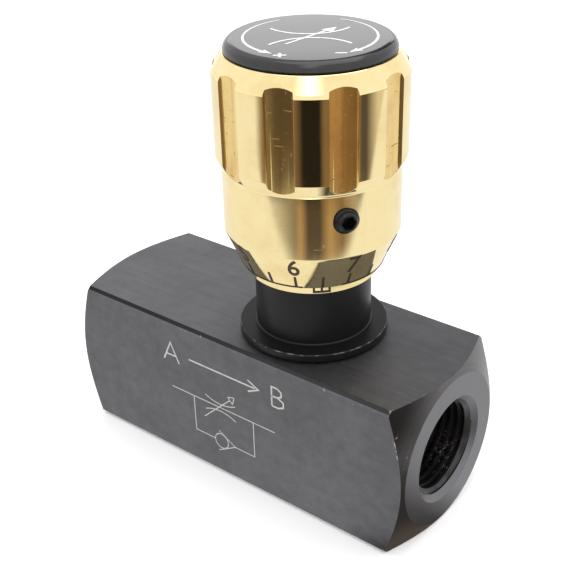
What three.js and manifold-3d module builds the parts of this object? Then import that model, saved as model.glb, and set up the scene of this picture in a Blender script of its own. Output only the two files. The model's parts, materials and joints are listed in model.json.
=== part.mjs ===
// Flow control valve: a steel line body with two taper-threaded ports, a needle that meters the
// flow from port A to port B, a check poppet that lets it run back freely, and a graduated brass
// knob that sets the needle.
//
// Millimetres, +Z up. The origin is the middle of the body's underside. The ports lie on the X
// axis, port B on +X. The front face, which carries the flow symbol, looks along -Y. The needle
// stands upright on its own axis, nearer to port B. The pieces are placed with the needle
// LIFT_AT_REST above its seat and the lock screw tightened.

import * as THREE from 'three';
import { mergeVertices } from 'three/addons/utils/BufferGeometryUtils.js';
import Module from 'manifold-3d';

const wasm = await Module();
wasm.setup();

// ---- driving dimensions -------------------------------------------------------------------

const BODY_LENGTH = 71.5;
const BODY_SIDE = 28;
const PORT_AXIS_Z = BODY_SIDE / 2;
const HALF_LENGTH = BODY_LENGTH / 2;
const EDGE_CHAMFER = 0.72;
const END_FACE_RADIUS = 13.26;
const END_CONE_SLOPE = 2.05;
const END_CONE_RADIUS = 20.5;

const PORT_MOUTH_RADIUS = 9.2;
const PORT_MOUTH_DEPTH = 0.9;
const PORT_THREAD_RADIUS = 8.0;
const PORT_THREAD_DEPTH = 14.25;
const PORT_TAPER = 1 / 32;
const TAP_DRILL_RADIUS = 6.9;
const TAP_DRILL_END_X = 15;

const CHECK_STEP_X = -17.9;
const CHECK_BORE_RADIUS = 6.4;
const CHECK_SEAT_X = -3;
const CHECK_SEAT_RADIUS = 3.6;
const RING_GROOVE_X = -20.45;
const RING_GROOVE_WIDTH = 1.1;
const RING_GROOVE_RADIUS = 7.5;

const VALVE_X = 8.4;
const BONNET_BORE_RADIUS = 9;
const BONNET_BORE_FLOOR = 22.4;
const O_RING_CHAMFER = 1.9;
const NEEDLE_CHAMBER_RADIUS = 5;
const NEEDLE_CHAMBER_FLOOR = 20.6;
const ORIFICE_RADIUS = 2.5;
const CROSS_DRILL_RADIUS = 1.4;
const CROSS_DRILL_RISE = 5;

const FLANGE_RADIUS = 12.44;
const FLANGE_FOOT_RADIUS = 11.6;
const FLANGE_UNDERSIDE = 28.36;
const FLANGE_TOP = 29.7;
const SPIGOT_RADIUS = 8.9;
const SPIGOT_END = 22.6;
const SLEEVE_RADIUS = 9.6;
const SLEEVE_TOP = 60;
const NEEDLE_BORE_RADIUS = 4.1;
const NEEDLE_BORE_TOP = 34;
const SPINDLE_BORE_RADIUS = 6;
const STOP_GROOVE_Z = 51.6;
const STOP_GROOVE_WIDTH = 1.1;
const STOP_RING_INNER = 4.7;
const STOP_GROOVE_RADIUS = 6.8;
const DUST_GROOVE_Z = 44.9;
const DUST_GROOVE_WIDTH = 1.6;
const DUST_GROOVE_RADIUS = 8.6;

const LIFT_AT_REST = 1.5;
const NEEDLE_RADIUS = 3.9;
const NEEDLE_TIP_RADIUS = 0.9;
const NEEDLE_TIP_Z = 17.7;
const NEEDLE_TAPER_LENGTH = 2.5;
const NEEDLE_SHANK_Z = 22.1;
const NEEDLE_SHANK_TOP = 31.2;
const NEEDLE_NECK_RADIUS = 2;
const NEEDLE_HEAD_RADIUS = 3.3;
const SEAL_GROOVE_RADIUS = 2.75;
const SEAL_GROOVE_Z = 25.5;
const SEAL_GROOVE_WIDTH = 3;

const SPINDLE_THREAD_RADIUS = 5.9;
const SPINDLE_SHAFT_RADIUS = 4.3;
const SPINDLE_FLAT = 3.4;
const SPINDLE_FOOT = 36.2;
const SPINDLE_SHOULDER = 49;
const SPINDLE_TOP = 69.6;
const SPINDLE_CAVITY_RADIUS = 3.6;
const SPINDLE_CAVITY_DEPTH = 4.2;
const SPINDLE_HOLE_RADIUS = 2.05;
const SPINDLE_HOLE_DEPTH = 10;
const CLIP_GROOVE_RADIUS = 4.3;
const CLIP_GROOVE_Z = 37;
const CLIP_INNER = 2.3;
const CLIP_GAP = 60;

const KNOB_LIP_Z = 39.3;
const KNOB_LIP_RADIUS = 10.6;
const KNOB_POCKET_RADIUS = 9.8;
const KNOB_POCKET_TOP = 63;
const KNOB_HUB_TOP = 70.5;
const SCALE_FOOT_Z = 41.4;
const SCALE_FOOT_RADIUS = 11.4;
const SCALE_HEAD_Z = 47.5;
const KNOB_BARREL_RADIUS = 14.2;
const KNOB_GRIP_RADIUS = 15.1;
const KNOB_GRIP_Z = 59.3;
const KNOB_SHOULDER_Z = 73.8;
const KNOB_TOP_Z = 76;
const KNOB_TOP_RADIUS = 13.1;
const CAP_RECESS_RADIUS = 10.2;
const FLUTE_COUNT = 10;
const FLUTE_CUTTER_RADIUS = 4.65;
const FLUTE_CUTTER_DISTANCE = 18.92;
const FLUTE_FIRST_AZIMUTH = -34.7;

const CAP_TOP_Z = 78;
const CAP_EDGE_ROUND = 0.6;
const CAP_SKIRT_INNER = 8.7;
const CAP_SKIRT_DEPTH = 3.6;
const WASHER_RADIUS = 6.5;
const WASHER_HOLE_RADIUS = 2.2;
const SCREW_RADIUS = 1.95;
const SCREW_LENGTH_BELOW = 9;
const SCREW_HEAD_RADIUS = 3.5;
const SCREW_HEAD_HEIGHT = 2.3;
const SCREW_SOCKET = 2.5;

const LOCK_AZIMUTH = -32.1;
const LOCK_Z = 53.8;
const LOCK_SCREW_RADIUS = 1.95;
const LOCK_SCREW_INNER = 11.2;
const LOCK_SCREW_OUTER = 15.2;
const LOCK_SOCKET = 2;
const LOCK_PAD_RADIUS = 1.7;

const BORE_SIDES = 48;
const SMALL_SIDES = 24;
const KNOB_SIDES = 60;
const CHECK_SIDES = 32;
const HOLE_SIDES = 12;
const CLOSE_FIT = 0.05;

// ---- solids -------------------------------------------------------------------------------

const DEGREE = Math.PI / 180;

// Joins the shared corners of a closed surface and turns its faces outwards.
function weld(geometry) {
  geometry.deleteAttribute('normal');
  geometry.deleteAttribute('uv');
  const merged = mergeVertices(geometry, 1e-4);
  const position = merged.attributes.position;
  const faces = [];
  let volume = 0;
  for (let i = 0; i < merged.index.count; i += 3) {
    const face = [0, 1, 2].map((k) => merged.index.getX(i + k));
    if (new Set(face).size < 3) continue;
    const [a, b, c] = face.map((v) => new THREE.Vector3().fromBufferAttribute(position, v));
    volume += a.dot(b.cross(c));
    faces.push(face);
  }
  const outward = volume > 0 ? faces : faces.map((face) => face.reverse());
  merged.setIndex(outward.flat());
  return merged;
}

function toSolid(geometry) {
  const closed = weld(geometry);
  const vertProperties = new Float32Array(closed.attributes.position.array);
  const triVerts = new Uint32Array(closed.index.array);
  return new wasm.Manifold(new wasm.Mesh({ numProp: 3, vertProperties, triVerts }));
}

function toGeometry(solid) {
  const { vertProperties, triVerts } = solid.getMesh();
  const geometry = new THREE.BufferGeometry();
  geometry.setAttribute('position', new THREE.BufferAttribute(vertProperties, 3));
  geometry.setIndex(new THREE.BufferAttribute(triVerts, 1));
  return geometry;
}

// A solid of revolution from a profile of [radius, height] points, upright on an axis at x.
function turned(profile, x = 0, sides = BORE_SIDES) {
  const points = profile.map(([radius, height]) => new THREE.Vector2(radius, height));
  return new THREE.LatheGeometry(points, sides).rotateX(Math.PI / 2).translate(x, 0, 0);
}

// The same, lying along the port axis, with the heights measured along X.
function turnedAlongPorts(profile, sides = BORE_SIDES) {
  const points = profile.map(([radius, height]) => new THREE.Vector2(radius, height));
  return new THREE.LatheGeometry(points, sides).rotateZ(-Math.PI / 2).translate(0, 0, PORT_AXIS_Z);
}

function disc(radius, low, high) {
  return [[0, low], [radius, low], [radius, high], [0, high]];
}

function ring(inner, outer, low, high) {
  return [[inner, low], [outer, low], [outer, high], [inner, high], [inner, low]];
}

// A ring whose section is rounded, as a squeezed O-ring's is.
function roundedRing(inner, outer, low, high) {
  const steps = 8;
  const points = [];
  for (let i = 0; i <= steps; i += 1) {
    const angle = (i % steps) * 2 * Math.PI / steps;
    const radius = (inner + outer) / 2 + (outer - inner) / 2 * Math.cos(angle);
    const height = (low + high) / 2 + (high - low) / 2 * Math.sin(angle);
    points.push([radius, height]);
  }
  return points;
}

// A cylinder between two points.
function rod(radius, start, end, sides = SMALL_SIDES) {
  const axis = new THREE.Vector3().subVectors(end, start);
  const geometry = new THREE.CylinderGeometry(radius, radius, axis.length(), sides);
  const up = new THREE.Vector3(0, 1, 0);
  geometry.applyQuaternion(new THREE.Quaternion().setFromUnitVectors(up, axis.clone().normalize()));
  const middle = start.clone().add(end).multiplyScalar(0.5);
  return geometry.translate(middle.x, middle.y, middle.z);
}

// A split retaining ring, flat from z = 0 up, with its gap on +X.
function snapRing(inner, outer, thickness, gapAngle) {
  const half = gapAngle / 2 * DEGREE;
  const shape = new THREE.Shape();
  shape.absarc(0, 0, outer, half, 2 * Math.PI - half, false);
  shape.absarc(0, 0, inner, 2 * Math.PI - half, half, true);
  shape.closePath();
  return new THREE.ExtrudeGeometry(shape, { depth: thickness, bevelEnabled: false, curveSegments: 10 });
}

// A regular hexagonal prism across the flats, upright from z = low to high.
function hexPrism(acrossFlats, low, high) {
  const radius = acrossFlats / Math.sqrt(3);
  return new THREE.CylinderGeometry(radius, radius, high - low, 6)
    .rotateX(Math.PI / 2)
    .translate(0, 0, (low + high) / 2);
}

function cut(base, ...tools) {
  return tools.reduce((solid, tool) => solid.subtract(toSolid(tool)), toSolid(base));
}

function lifted(profile) {
  return profile.map(([radius, height]) => [radius, height + LIFT_AT_REST]);
}

// ---- materials ----------------------------------------------------------------------------

function finish(color, roughness, metalness) {
  return new THREE.MeshStandardMaterial({ color, roughness, metalness });
}

const blackenedSteel = finish(0x3b3a3d, 0.42, 0.7);
const blackSleeve = finish(0x202024, 0.3, 0.6);
const polishedBrass = finish(0xdcc07a, 0.12, 1);
const brightSteel = finish(0xb8b8ba, 0.3, 1);
const springSteel = finish(0x8d8f94, 0.35, 1);
const blackRubber = finish(0x151515, 0.75, 0);
const whitePlastic = finish(0xe8e6df, 0.5, 0);
const blackPlastic = finish(0x111113, 0.25, 0);
const blackScrew = finish(0x1b1b1e, 0.45, 0.6);

const valve = new THREE.Group();

function addPiece(name, geometry, material) {
  const mesh = new THREE.Mesh(geometry, material);
  mesh.name = name;
  valve.add(mesh);
}

// ---- line body ----------------------------------------------------------------------------

function squareBar() {
  const half = BODY_SIDE / 2;
  const flat = half - EDGE_CHAMFER;
  const section = new THREE.Shape();
  section.moveTo(-flat, -half);
  section.lineTo(flat, -half);
  section.lineTo(half, -flat);
  section.lineTo(half, flat);
  section.lineTo(flat, half);
  section.lineTo(-flat, half);
  section.lineTo(-half, flat);
  section.lineTo(-half, -flat);
  section.closePath();
  return new THREE.ExtrudeGeometry(section, { depth: BODY_LENGTH, bevelEnabled: false })
    .translate(0, 0, -HALF_LENGTH)
    .rotateY(Math.PI / 2)
    .translate(0, 0, PORT_AXIS_Z);
}

// The blank that the turned cones leave at both ends of the bar.
function turnedBlank() {
  const coneStart = HALF_LENGTH - (END_CONE_RADIUS - END_FACE_RADIUS) / END_CONE_SLOPE;
  return turnedAlongPorts([
    [0, -HALF_LENGTH],
    [END_FACE_RADIUS, -HALF_LENGTH],
    [END_CONE_RADIUS, -coneStart],
    [END_CONE_RADIUS, coneStart],
    [END_FACE_RADIUS, HALF_LENGTH],
    [0, HALF_LENGTH],
  ]);
}

// One port socket, from its mouth inwards; side is -1 for port A and 1 for port B.
function portSocket(side) {
  const mouth = HALF_LENGTH + 1;
  const threadEnd = HALF_LENGTH - PORT_THREAD_DEPTH;
  const profile = [
    [0, mouth],
    [PORT_MOUTH_RADIUS, mouth],
    [PORT_MOUTH_RADIUS, HALF_LENGTH],
    [PORT_THREAD_RADIUS, HALF_LENGTH - PORT_MOUTH_DEPTH],
    [PORT_THREAD_RADIUS - PORT_THREAD_DEPTH * PORT_TAPER, threadEnd],
    [0, threadEnd],
  ];
  return turnedAlongPorts(profile.map(([radius, along]) => [radius, side * along]));
}

function flowBores() {
  const socketEnd = HALF_LENGTH - PORT_THREAD_DEPTH;
  return [
    turnedAlongPorts(disc(TAP_DRILL_RADIUS, -socketEnd - 1, CHECK_STEP_X)),
    turnedAlongPorts(disc(RING_GROOVE_RADIUS, RING_GROOVE_X, RING_GROOVE_X + RING_GROOVE_WIDTH)),
    turnedAlongPorts(disc(CHECK_BORE_RADIUS, CHECK_STEP_X - 1, CHECK_SEAT_X)),
    turnedAlongPorts(disc(CHECK_SEAT_RADIUS, CHECK_SEAT_X - 1, TAP_DRILL_END_X + 1)),
    turnedAlongPorts(disc(TAP_DRILL_RADIUS, TAP_DRILL_END_X, socketEnd + 1)),
  ];
}

function needleBores() {
  const bore = turned([
    [0, PORT_AXIS_Z],
    [ORIFICE_RADIUS, PORT_AXIS_Z],
    [ORIFICE_RADIUS, NEEDLE_CHAMBER_FLOOR],
    [NEEDLE_CHAMBER_RADIUS, NEEDLE_CHAMBER_FLOOR],
    [NEEDLE_CHAMBER_RADIUS, BONNET_BORE_FLOOR],
    [BONNET_BORE_RADIUS, BONNET_BORE_FLOOR],
    [BONNET_BORE_RADIUS, BODY_SIDE - O_RING_CHAMFER],
    [BONNET_BORE_RADIUS + O_RING_CHAMFER, BODY_SIDE],
    [BONNET_BORE_RADIUS + O_RING_CHAMFER, BODY_SIDE + 1],
    [0, BODY_SIDE + 1],
  ], VALVE_X);
  const fromCheck = new THREE.Vector3(CHECK_SEAT_X - 2, 0, PORT_AXIS_Z + CROSS_DRILL_RISE);
  const toNeedle = new THREE.Vector3(VALVE_X - ORIFICE_RADIUS, 0, NEEDLE_CHAMBER_FLOOR + 1.1);
  return [bore, rod(CROSS_DRILL_RADIUS, fromCheck, toNeedle)];
}

function bodyBlock() {
  const blank = toSolid(squareBar()).intersect(toSolid(turnedBlank()));
  const tools = [portSocket(-1), portSocket(1), ...flowBores(), ...needleBores()];
  return toGeometry(tools.reduce((solid, tool) => solid.subtract(toSolid(tool)), blank));
}

addPiece('body_block', bodyBlock(), blackenedSteel);

// ---- check valve in the port A side -------------------------------------------------------

const POPPET_GUIDE_RADIUS = 6.25;
const POPPET_NECK_RADIUS = 5;
const POPPET_TAIL_X = -14.6;
const POPPET_GUIDE_X = -7;
const POPPET_WALL_RADIUS = 4.8;
const POPPET_HOLLOW_RADIUS = 3.2;
const POPPET_HOLLOW_END_X = -4.6;
const POPPET_HOLE_RADIUS = 1.2;
const POPPET_HOLE_X = -5.55;
const SPRING_SEAT_X = -7.5;
const SPRING_MEAN_RADIUS = 3.9;
const SPRING_WIRE_RADIUS = 0.4;
const SPRING_TURNS = 7.5;
const RETAINER_RADIUS = 6.8;
const RETAINER_BOSS_RADIUS = 3.2;
const RETAINER_BOSS_HEIGHT = 1.5;
const RETAINER_CENTRE_HOLE = 1.7;
const RETAINER_HOLE_RADIUS = 1.1;
const RETAINER_HOLE_CIRCLE = 5;
const SNAP_RING_INNER = 5.9;
const SNAP_RING_GAP = 50;

// A cup with a cone nose that closes on the seat's edge and four holes behind the nose.
function checkPoppet() {
  const noseAtSeat = CHECK_SEAT_RADIUS - 0.1;
  const noseRadius = noseAtSeat - 0.9;
  const cup = turnedAlongPorts([
    [0, CHECK_SEAT_X + 0.9],
    [noseRadius, CHECK_SEAT_X + 0.9],
    [POPPET_NECK_RADIUS, CHECK_SEAT_X - (POPPET_NECK_RADIUS - noseAtSeat)],
    [POPPET_NECK_RADIUS, POPPET_GUIDE_X + 0.6],
    [POPPET_GUIDE_RADIUS - 0.4, POPPET_GUIDE_X],
    [POPPET_GUIDE_RADIUS, POPPET_GUIDE_X - 0.4],
    [POPPET_GUIDE_RADIUS, POPPET_TAIL_X],
    [POPPET_WALL_RADIUS, POPPET_TAIL_X],
    [POPPET_WALL_RADIUS, SPRING_SEAT_X],
    [POPPET_HOLLOW_RADIUS, SPRING_SEAT_X],
    [POPPET_HOLLOW_RADIUS, POPPET_HOLLOW_END_X],
    [0, POPPET_HOLLOW_END_X + 1],
  ], CHECK_SIDES);
  const holes = [0, 1, 2, 3].map((k) => {
    const angle = (k + 0.5) * 90 * DEGREE;
    const y = POPPET_GUIDE_RADIUS * Math.cos(angle);
    const z = POPPET_GUIDE_RADIUS * Math.sin(angle);
    const middle = new THREE.Vector3(POPPET_HOLE_X, 0, PORT_AXIS_Z);
    const outside = new THREE.Vector3(POPPET_HOLE_X, y, PORT_AXIS_Z + z);
    return rod(POPPET_HOLE_RADIUS, middle, outside, HOLE_SIDES);
  });
  return toGeometry(cut(cup, ...holes));
}

// A compression spring with closed ends, wound from the poppet to the retainer.
class SpringCurve extends THREE.Curve {
  getPoint(t, target = new THREE.Vector3()) {
    const start = SPRING_SEAT_X - SPRING_WIRE_RADIUS - CLOSE_FIT;
    const end = CHECK_STEP_X + SPRING_WIRE_RADIUS + CLOSE_FIT;
    const closedTurn = 2.2 * SPRING_WIRE_RADIUS;
    const openPitch = (start - end - 2 * closedTurn) / (SPRING_TURNS - 2);
    const turn = t * SPRING_TURNS;
    const opened = Math.min(Math.max(turn - 1, 0), SPRING_TURNS - 2);
    const closed = Math.min(turn, 1) + Math.max(turn - (SPRING_TURNS - 1), 0);
    const x = start - closedTurn * closed - openPitch * opened;
    const angle = 2 * Math.PI * turn;
    const y = SPRING_MEAN_RADIUS * Math.cos(angle);
    const z = SPRING_MEAN_RADIUS * Math.sin(angle);
    return target.set(x, y, PORT_AXIS_Z + z);
  }
}

function checkSpring() {
  const wire = new THREE.Shape();
  wire.absarc(0, 0, SPRING_WIRE_RADIUS, 0, 2 * Math.PI, false);
  const steps = Math.round(SPRING_TURNS * 16);
  const settings = { steps, extrudePath: new SpringCurve(), bevelEnabled: false, curveSegments: 3 };
  return weld(new THREE.ExtrudeGeometry(wire, settings));
}

function springRetainer() {
  const face = CHECK_STEP_X - CLOSE_FIT;
  const back = RING_GROOVE_X + RING_GROOVE_WIDTH;
  const plate = turnedAlongPorts([
    [0, face + RETAINER_BOSS_HEIGHT],
    [RETAINER_BOSS_RADIUS, face + RETAINER_BOSS_HEIGHT],
    [RETAINER_BOSS_RADIUS, face],
    [RETAINER_RADIUS, face],
    [RETAINER_RADIUS, back],
    [0, back],
  ], CHECK_SIDES);
  const centreHole = turnedAlongPorts(disc(RETAINER_CENTRE_HOLE, back - 1, face + 3), SMALL_SIDES);
  const holes = [0, 1, 2, 3, 4, 5].map((k) => {
    const angle = k * 60 * DEGREE;
    const y = RETAINER_HOLE_CIRCLE * Math.cos(angle);
    const z = PORT_AXIS_Z + RETAINER_HOLE_CIRCLE * Math.sin(angle);
    const outside = new THREE.Vector3(back - 1, y, z);
    return rod(RETAINER_HOLE_RADIUS, outside, new THREE.Vector3(face + 1, y, z), HOLE_SIDES);
  });
  return toGeometry(cut(plate, centreHole, ...holes));
}

function retainerSnapRing() {
  const thickness = RING_GROOVE_WIDTH - 2 * CLOSE_FIT;
  return weld(snapRing(SNAP_RING_INNER, RING_GROOVE_RADIUS - 0.1, thickness, SNAP_RING_GAP)
    .rotateY(Math.PI / 2)
    .translate(RING_GROOVE_X + CLOSE_FIT, 0, PORT_AXIS_Z));
}

addPiece('check_poppet', checkPoppet(), brightSteel);
addPiece('check_spring', checkSpring(), springSteel);
addPiece('spring_retainer', springRetainer(), brightSteel);
addPiece('retainer_snap_ring', retainerSnapRing(), springSteel);

// ---- bonnet and its seals -----------------------------------------------------------------

function bonnet() {
  const foot = BODY_SIDE + 0.03;
  return weld(turned([
    [NEEDLE_BORE_RADIUS, SPIGOT_END],
    [SPIGOT_RADIUS - 0.6, SPIGOT_END],
    [SPIGOT_RADIUS, SPIGOT_END + 0.6],
    [SPIGOT_RADIUS, foot],
    [FLANGE_FOOT_RADIUS, foot],
    [FLANGE_FOOT_RADIUS, FLANGE_UNDERSIDE],
    [FLANGE_RADIUS, FLANGE_UNDERSIDE],
    [FLANGE_RADIUS, FLANGE_TOP - 0.2],
    [FLANGE_RADIUS - 0.2, FLANGE_TOP],
    [SLEEVE_RADIUS, FLANGE_TOP],
    [SLEEVE_RADIUS, DUST_GROOVE_Z],
    [DUST_GROOVE_RADIUS, DUST_GROOVE_Z],
    [DUST_GROOVE_RADIUS, DUST_GROOVE_Z + DUST_GROOVE_WIDTH],
    [SLEEVE_RADIUS, DUST_GROOVE_Z + DUST_GROOVE_WIDTH],
    [SLEEVE_RADIUS, SLEEVE_TOP - 0.5],
    [SLEEVE_RADIUS - 0.5, SLEEVE_TOP],
    [SPINDLE_BORE_RADIUS + 0.5, SLEEVE_TOP],
    [SPINDLE_BORE_RADIUS, SLEEVE_TOP - 0.5],
    [SPINDLE_BORE_RADIUS, STOP_GROOVE_Z + STOP_GROOVE_WIDTH],
    [STOP_GROOVE_RADIUS, STOP_GROOVE_Z + STOP_GROOVE_WIDTH],
    [STOP_GROOVE_RADIUS, STOP_GROOVE_Z],
    [SPINDLE_BORE_RADIUS, STOP_GROOVE_Z],
    [SPINDLE_BORE_RADIUS, NEEDLE_BORE_TOP],
    [NEEDLE_BORE_RADIUS, NEEDLE_BORE_TOP],
    [NEEDLE_BORE_RADIUS, SPIGOT_END],
  ], VALVE_X));
}

function bonnetORing() {
  const inner = SPIGOT_RADIUS + 0.07;
  const top = BODY_SIDE - 0.1;
  return weld(turned(roundedRing(inner, inner + 0.9, top - 0.9, top), VALVE_X, 40));
}

function dustORing() {
  const low = DUST_GROOVE_Z + CLOSE_FIT;
  const high = DUST_GROOVE_Z + DUST_GROOVE_WIDTH - CLOSE_FIT;
  const profile = roundedRing(DUST_GROOVE_RADIUS + CLOSE_FIT, KNOB_POCKET_RADIUS - CLOSE_FIT, low, high);
  return weld(turned(profile, VALVE_X));
}

function spindleStopRing() {
  return weld(snapRing(STOP_RING_INNER, STOP_GROOVE_RADIUS - 0.1, 1, SNAP_RING_GAP)
    .translate(VALVE_X, 0, STOP_GROOVE_Z + CLOSE_FIT));
}

addPiece('bonnet', bonnet(), blackSleeve);
addPiece('bonnet_o_ring', bonnetORing(), blackRubber);
addPiece('dust_o_ring', dustORing(), blackRubber);
addPiece('spindle_stop_ring', spindleStopRing(), springSteel);

// ---- needle and its seals -----------------------------------------------------------------

// Heights of the needle itself are those of the closed valve; lifted() raises them to rest.
function needle() {
  const grooveTop = SEAL_GROOVE_Z + SEAL_GROOVE_WIDTH;
  const headFoot = CLIP_GROOVE_Z + 1.05 - LIFT_AT_REST;
  return weld(turned(lifted([
    [0, NEEDLE_TIP_Z],
    [NEEDLE_TIP_RADIUS, NEEDLE_TIP_Z],
    [ORIFICE_RADIUS - 0.5, NEEDLE_TIP_Z + NEEDLE_TAPER_LENGTH],
    [NEEDLE_RADIUS - 0.3, NEEDLE_SHANK_Z - 0.3],
    [NEEDLE_RADIUS, NEEDLE_SHANK_Z],
    [NEEDLE_RADIUS, SEAL_GROOVE_Z],
    [SEAL_GROOVE_RADIUS, SEAL_GROOVE_Z],
    [SEAL_GROOVE_RADIUS, grooveTop],
    [NEEDLE_RADIUS, grooveTop],
    [NEEDLE_RADIUS, NEEDLE_SHANK_TOP],
    [NEEDLE_RADIUS - 0.3, NEEDLE_SHANK_TOP + 0.3],
    [NEEDLE_NECK_RADIUS, NEEDLE_SHANK_TOP + 0.3],
    [NEEDLE_NECK_RADIUS, headFoot],
    [NEEDLE_HEAD_RADIUS, headFoot],
    [NEEDLE_HEAD_RADIUS, headFoot + 1.6],
    [NEEDLE_HEAD_RADIUS - 0.5, headFoot + 2],
    [0, headFoot + 2.1],
  ]), VALVE_X, SMALL_SIDES));
}

function needleORing() {
  const profile = roundedRing(SEAL_GROOVE_RADIUS + CLOSE_FIT, NEEDLE_BORE_RADIUS - CLOSE_FIT,
    SEAL_GROOVE_Z + 0.1, SEAL_GROOVE_Z + 1.7);
  return weld(turned(lifted(profile), VALVE_X, SMALL_SIDES));
}

function needleBackupRing() {
  const profile = ring(SEAL_GROOVE_RADIUS + CLOSE_FIT, NEEDLE_BORE_RADIUS - 0.1,
    SEAL_GROOVE_Z + 1.9, SEAL_GROOVE_Z + 2.9);
  return weld(turned(lifted(profile), VALVE_X, SMALL_SIDES));
}

addPiece('needle', needle(), brightSteel);
addPiece('needle_o_ring', needleORing(), blackRubber);
addPiece('needle_backup_ring', needleBackupRing(), whitePlastic);

// ---- spindle ------------------------------------------------------------------------------

// The threaded spindle: the needle's head swivels in its foot, held by a split ring.
function spindle() {
  const cavityTop = SPINDLE_FOOT + SPINDLE_CAVITY_DEPTH;
  const holeEnd = SPINDLE_TOP - SPINDLE_HOLE_DEPTH;
  const shaft = turned([
    [SPINDLE_CAVITY_RADIUS, SPINDLE_FOOT],
    [SPINDLE_THREAD_RADIUS - 0.5, SPINDLE_FOOT],
    [SPINDLE_THREAD_RADIUS, SPINDLE_FOOT + 0.5],
    [SPINDLE_THREAD_RADIUS, SPINDLE_SHOULDER],
    [SPINDLE_SHAFT_RADIUS, SPINDLE_SHOULDER],
    [SPINDLE_SHAFT_RADIUS, SPINDLE_TOP],
    [SPINDLE_HOLE_RADIUS, SPINDLE_TOP],
    [SPINDLE_HOLE_RADIUS, holeEnd],
    [0, holeEnd - 1.5],
    [0, cavityTop + 1],
    [SPINDLE_CAVITY_RADIUS, cavityTop],
    [SPINDLE_CAVITY_RADIUS, CLIP_GROOVE_Z + 1],
    [CLIP_GROOVE_RADIUS, CLIP_GROOVE_Z + 1],
    [CLIP_GROOVE_RADIUS, CLIP_GROOVE_Z],
    [SPINDLE_CAVITY_RADIUS, CLIP_GROOVE_Z],
    [SPINDLE_CAVITY_RADIUS, SPINDLE_FOOT],
  ], VALVE_X, SMALL_SIDES);
  const flatBlock = new THREE.BoxGeometry(10, 4, 10);
  flatBlock.translate(VALVE_X, SPINDLE_FLAT + 2, KNOB_POCKET_TOP + 5);
  return toGeometry(cut(shaft, flatBlock));
}

function needleClip() {
  return weld(snapRing(CLIP_INNER, CLIP_GROOVE_RADIUS - 0.1, 0.9, CLIP_GAP)
    .translate(VALVE_X, 0, CLIP_GROOVE_Z + CLOSE_FIT));
}

addPiece('spindle', spindle(), brightSteel);
addPiece('needle_clip', needleClip(), springSteel);

// ---- knob ---------------------------------------------------------------------------------

function lockPoint(radius) {
  const azimuth = LOCK_AZIMUTH * DEGREE;
  const x = VALVE_X + radius * Math.cos(azimuth);
  const y = radius * Math.sin(azimuth);
  return new THREE.Vector3(x, y, LOCK_Z);
}

function knobBlank() {
  return turned([
    [0, KNOB_POCKET_TOP],
    [KNOB_POCKET_RADIUS, KNOB_POCKET_TOP],
    [KNOB_POCKET_RADIUS, KNOB_LIP_Z],
    [KNOB_LIP_RADIUS, KNOB_LIP_Z],
    [SCALE_FOOT_RADIUS, SCALE_FOOT_Z],
    [KNOB_BARREL_RADIUS + 0.1, SCALE_HEAD_Z - 0.2],
    [KNOB_BARREL_RADIUS + 0.15, SCALE_HEAD_Z + 0.2],
    [KNOB_BARREL_RADIUS, SCALE_HEAD_Z + 1.2],
    [KNOB_BARREL_RADIUS, KNOB_GRIP_Z - 0.9],
    [KNOB_GRIP_RADIUS, KNOB_GRIP_Z],
    [KNOB_GRIP_RADIUS, KNOB_SHOULDER_Z],
    [KNOB_GRIP_RADIUS - 0.6, KNOB_SHOULDER_Z + 1.2],
    [KNOB_TOP_RADIUS, KNOB_TOP_Z],
    [CAP_RECESS_RADIUS, KNOB_TOP_Z],
    [CAP_RECESS_RADIUS, KNOB_HUB_TOP],
    [0, KNOB_HUB_TOP],
  ], VALVE_X, KNOB_SIDES);
}

function flutes() {
  const cutters = [];
  for (let k = 0; k < FLUTE_COUNT; k += 1) {
    const azimuth = (FLUTE_FIRST_AZIMUTH + k * 360 / FLUTE_COUNT) * DEGREE;
    const x = VALVE_X + FLUTE_CUTTER_DISTANCE * Math.cos(azimuth);
    const y = FLUTE_CUTTER_DISTANCE * Math.sin(azimuth);
    const foot = new THREE.Vector3(x, y, KNOB_GRIP_Z - 1.8);
    cutters.push(rod(FLUTE_CUTTER_RADIUS, foot, new THREE.Vector3(x, y, KNOB_TOP_Z + 1), 40));
  }
  return cutters;
}

// The hub's bore with one flat, which drives the spindle.
function hubBore() {
  const fit = 0.1;
  const bore = turned(disc(SPINDLE_SHAFT_RADIUS + fit, KNOB_POCKET_TOP - 1, KNOB_HUB_TOP + 1),
    VALVE_X, SMALL_SIDES);
  const flatBlock = new THREE.BoxGeometry(10, 4, 12);
  flatBlock.translate(VALVE_X, SPINDLE_FLAT + fit + 2, (KNOB_POCKET_TOP + KNOB_HUB_TOP) / 2);
  return toGeometry(cut(bore, flatBlock));
}

function knob() {
  const lockHole = rod(LOCK_SCREW_RADIUS + 0.1, lockPoint(9), lockPoint(16));
  return toGeometry(cut(knobBlank(), hubBore(), lockHole, ...flutes()));
}

addPiece('knob', knob(), polishedBrass);

// ---- knob fixing and cap ------------------------------------------------------------------

function knobWasher() {
  const low = KNOB_HUB_TOP + CLOSE_FIT;
  return weld(turned(ring(WASHER_HOLE_RADIUS, WASHER_RADIUS, low, low + 0.8), VALVE_X, SMALL_SIDES));
}

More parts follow.
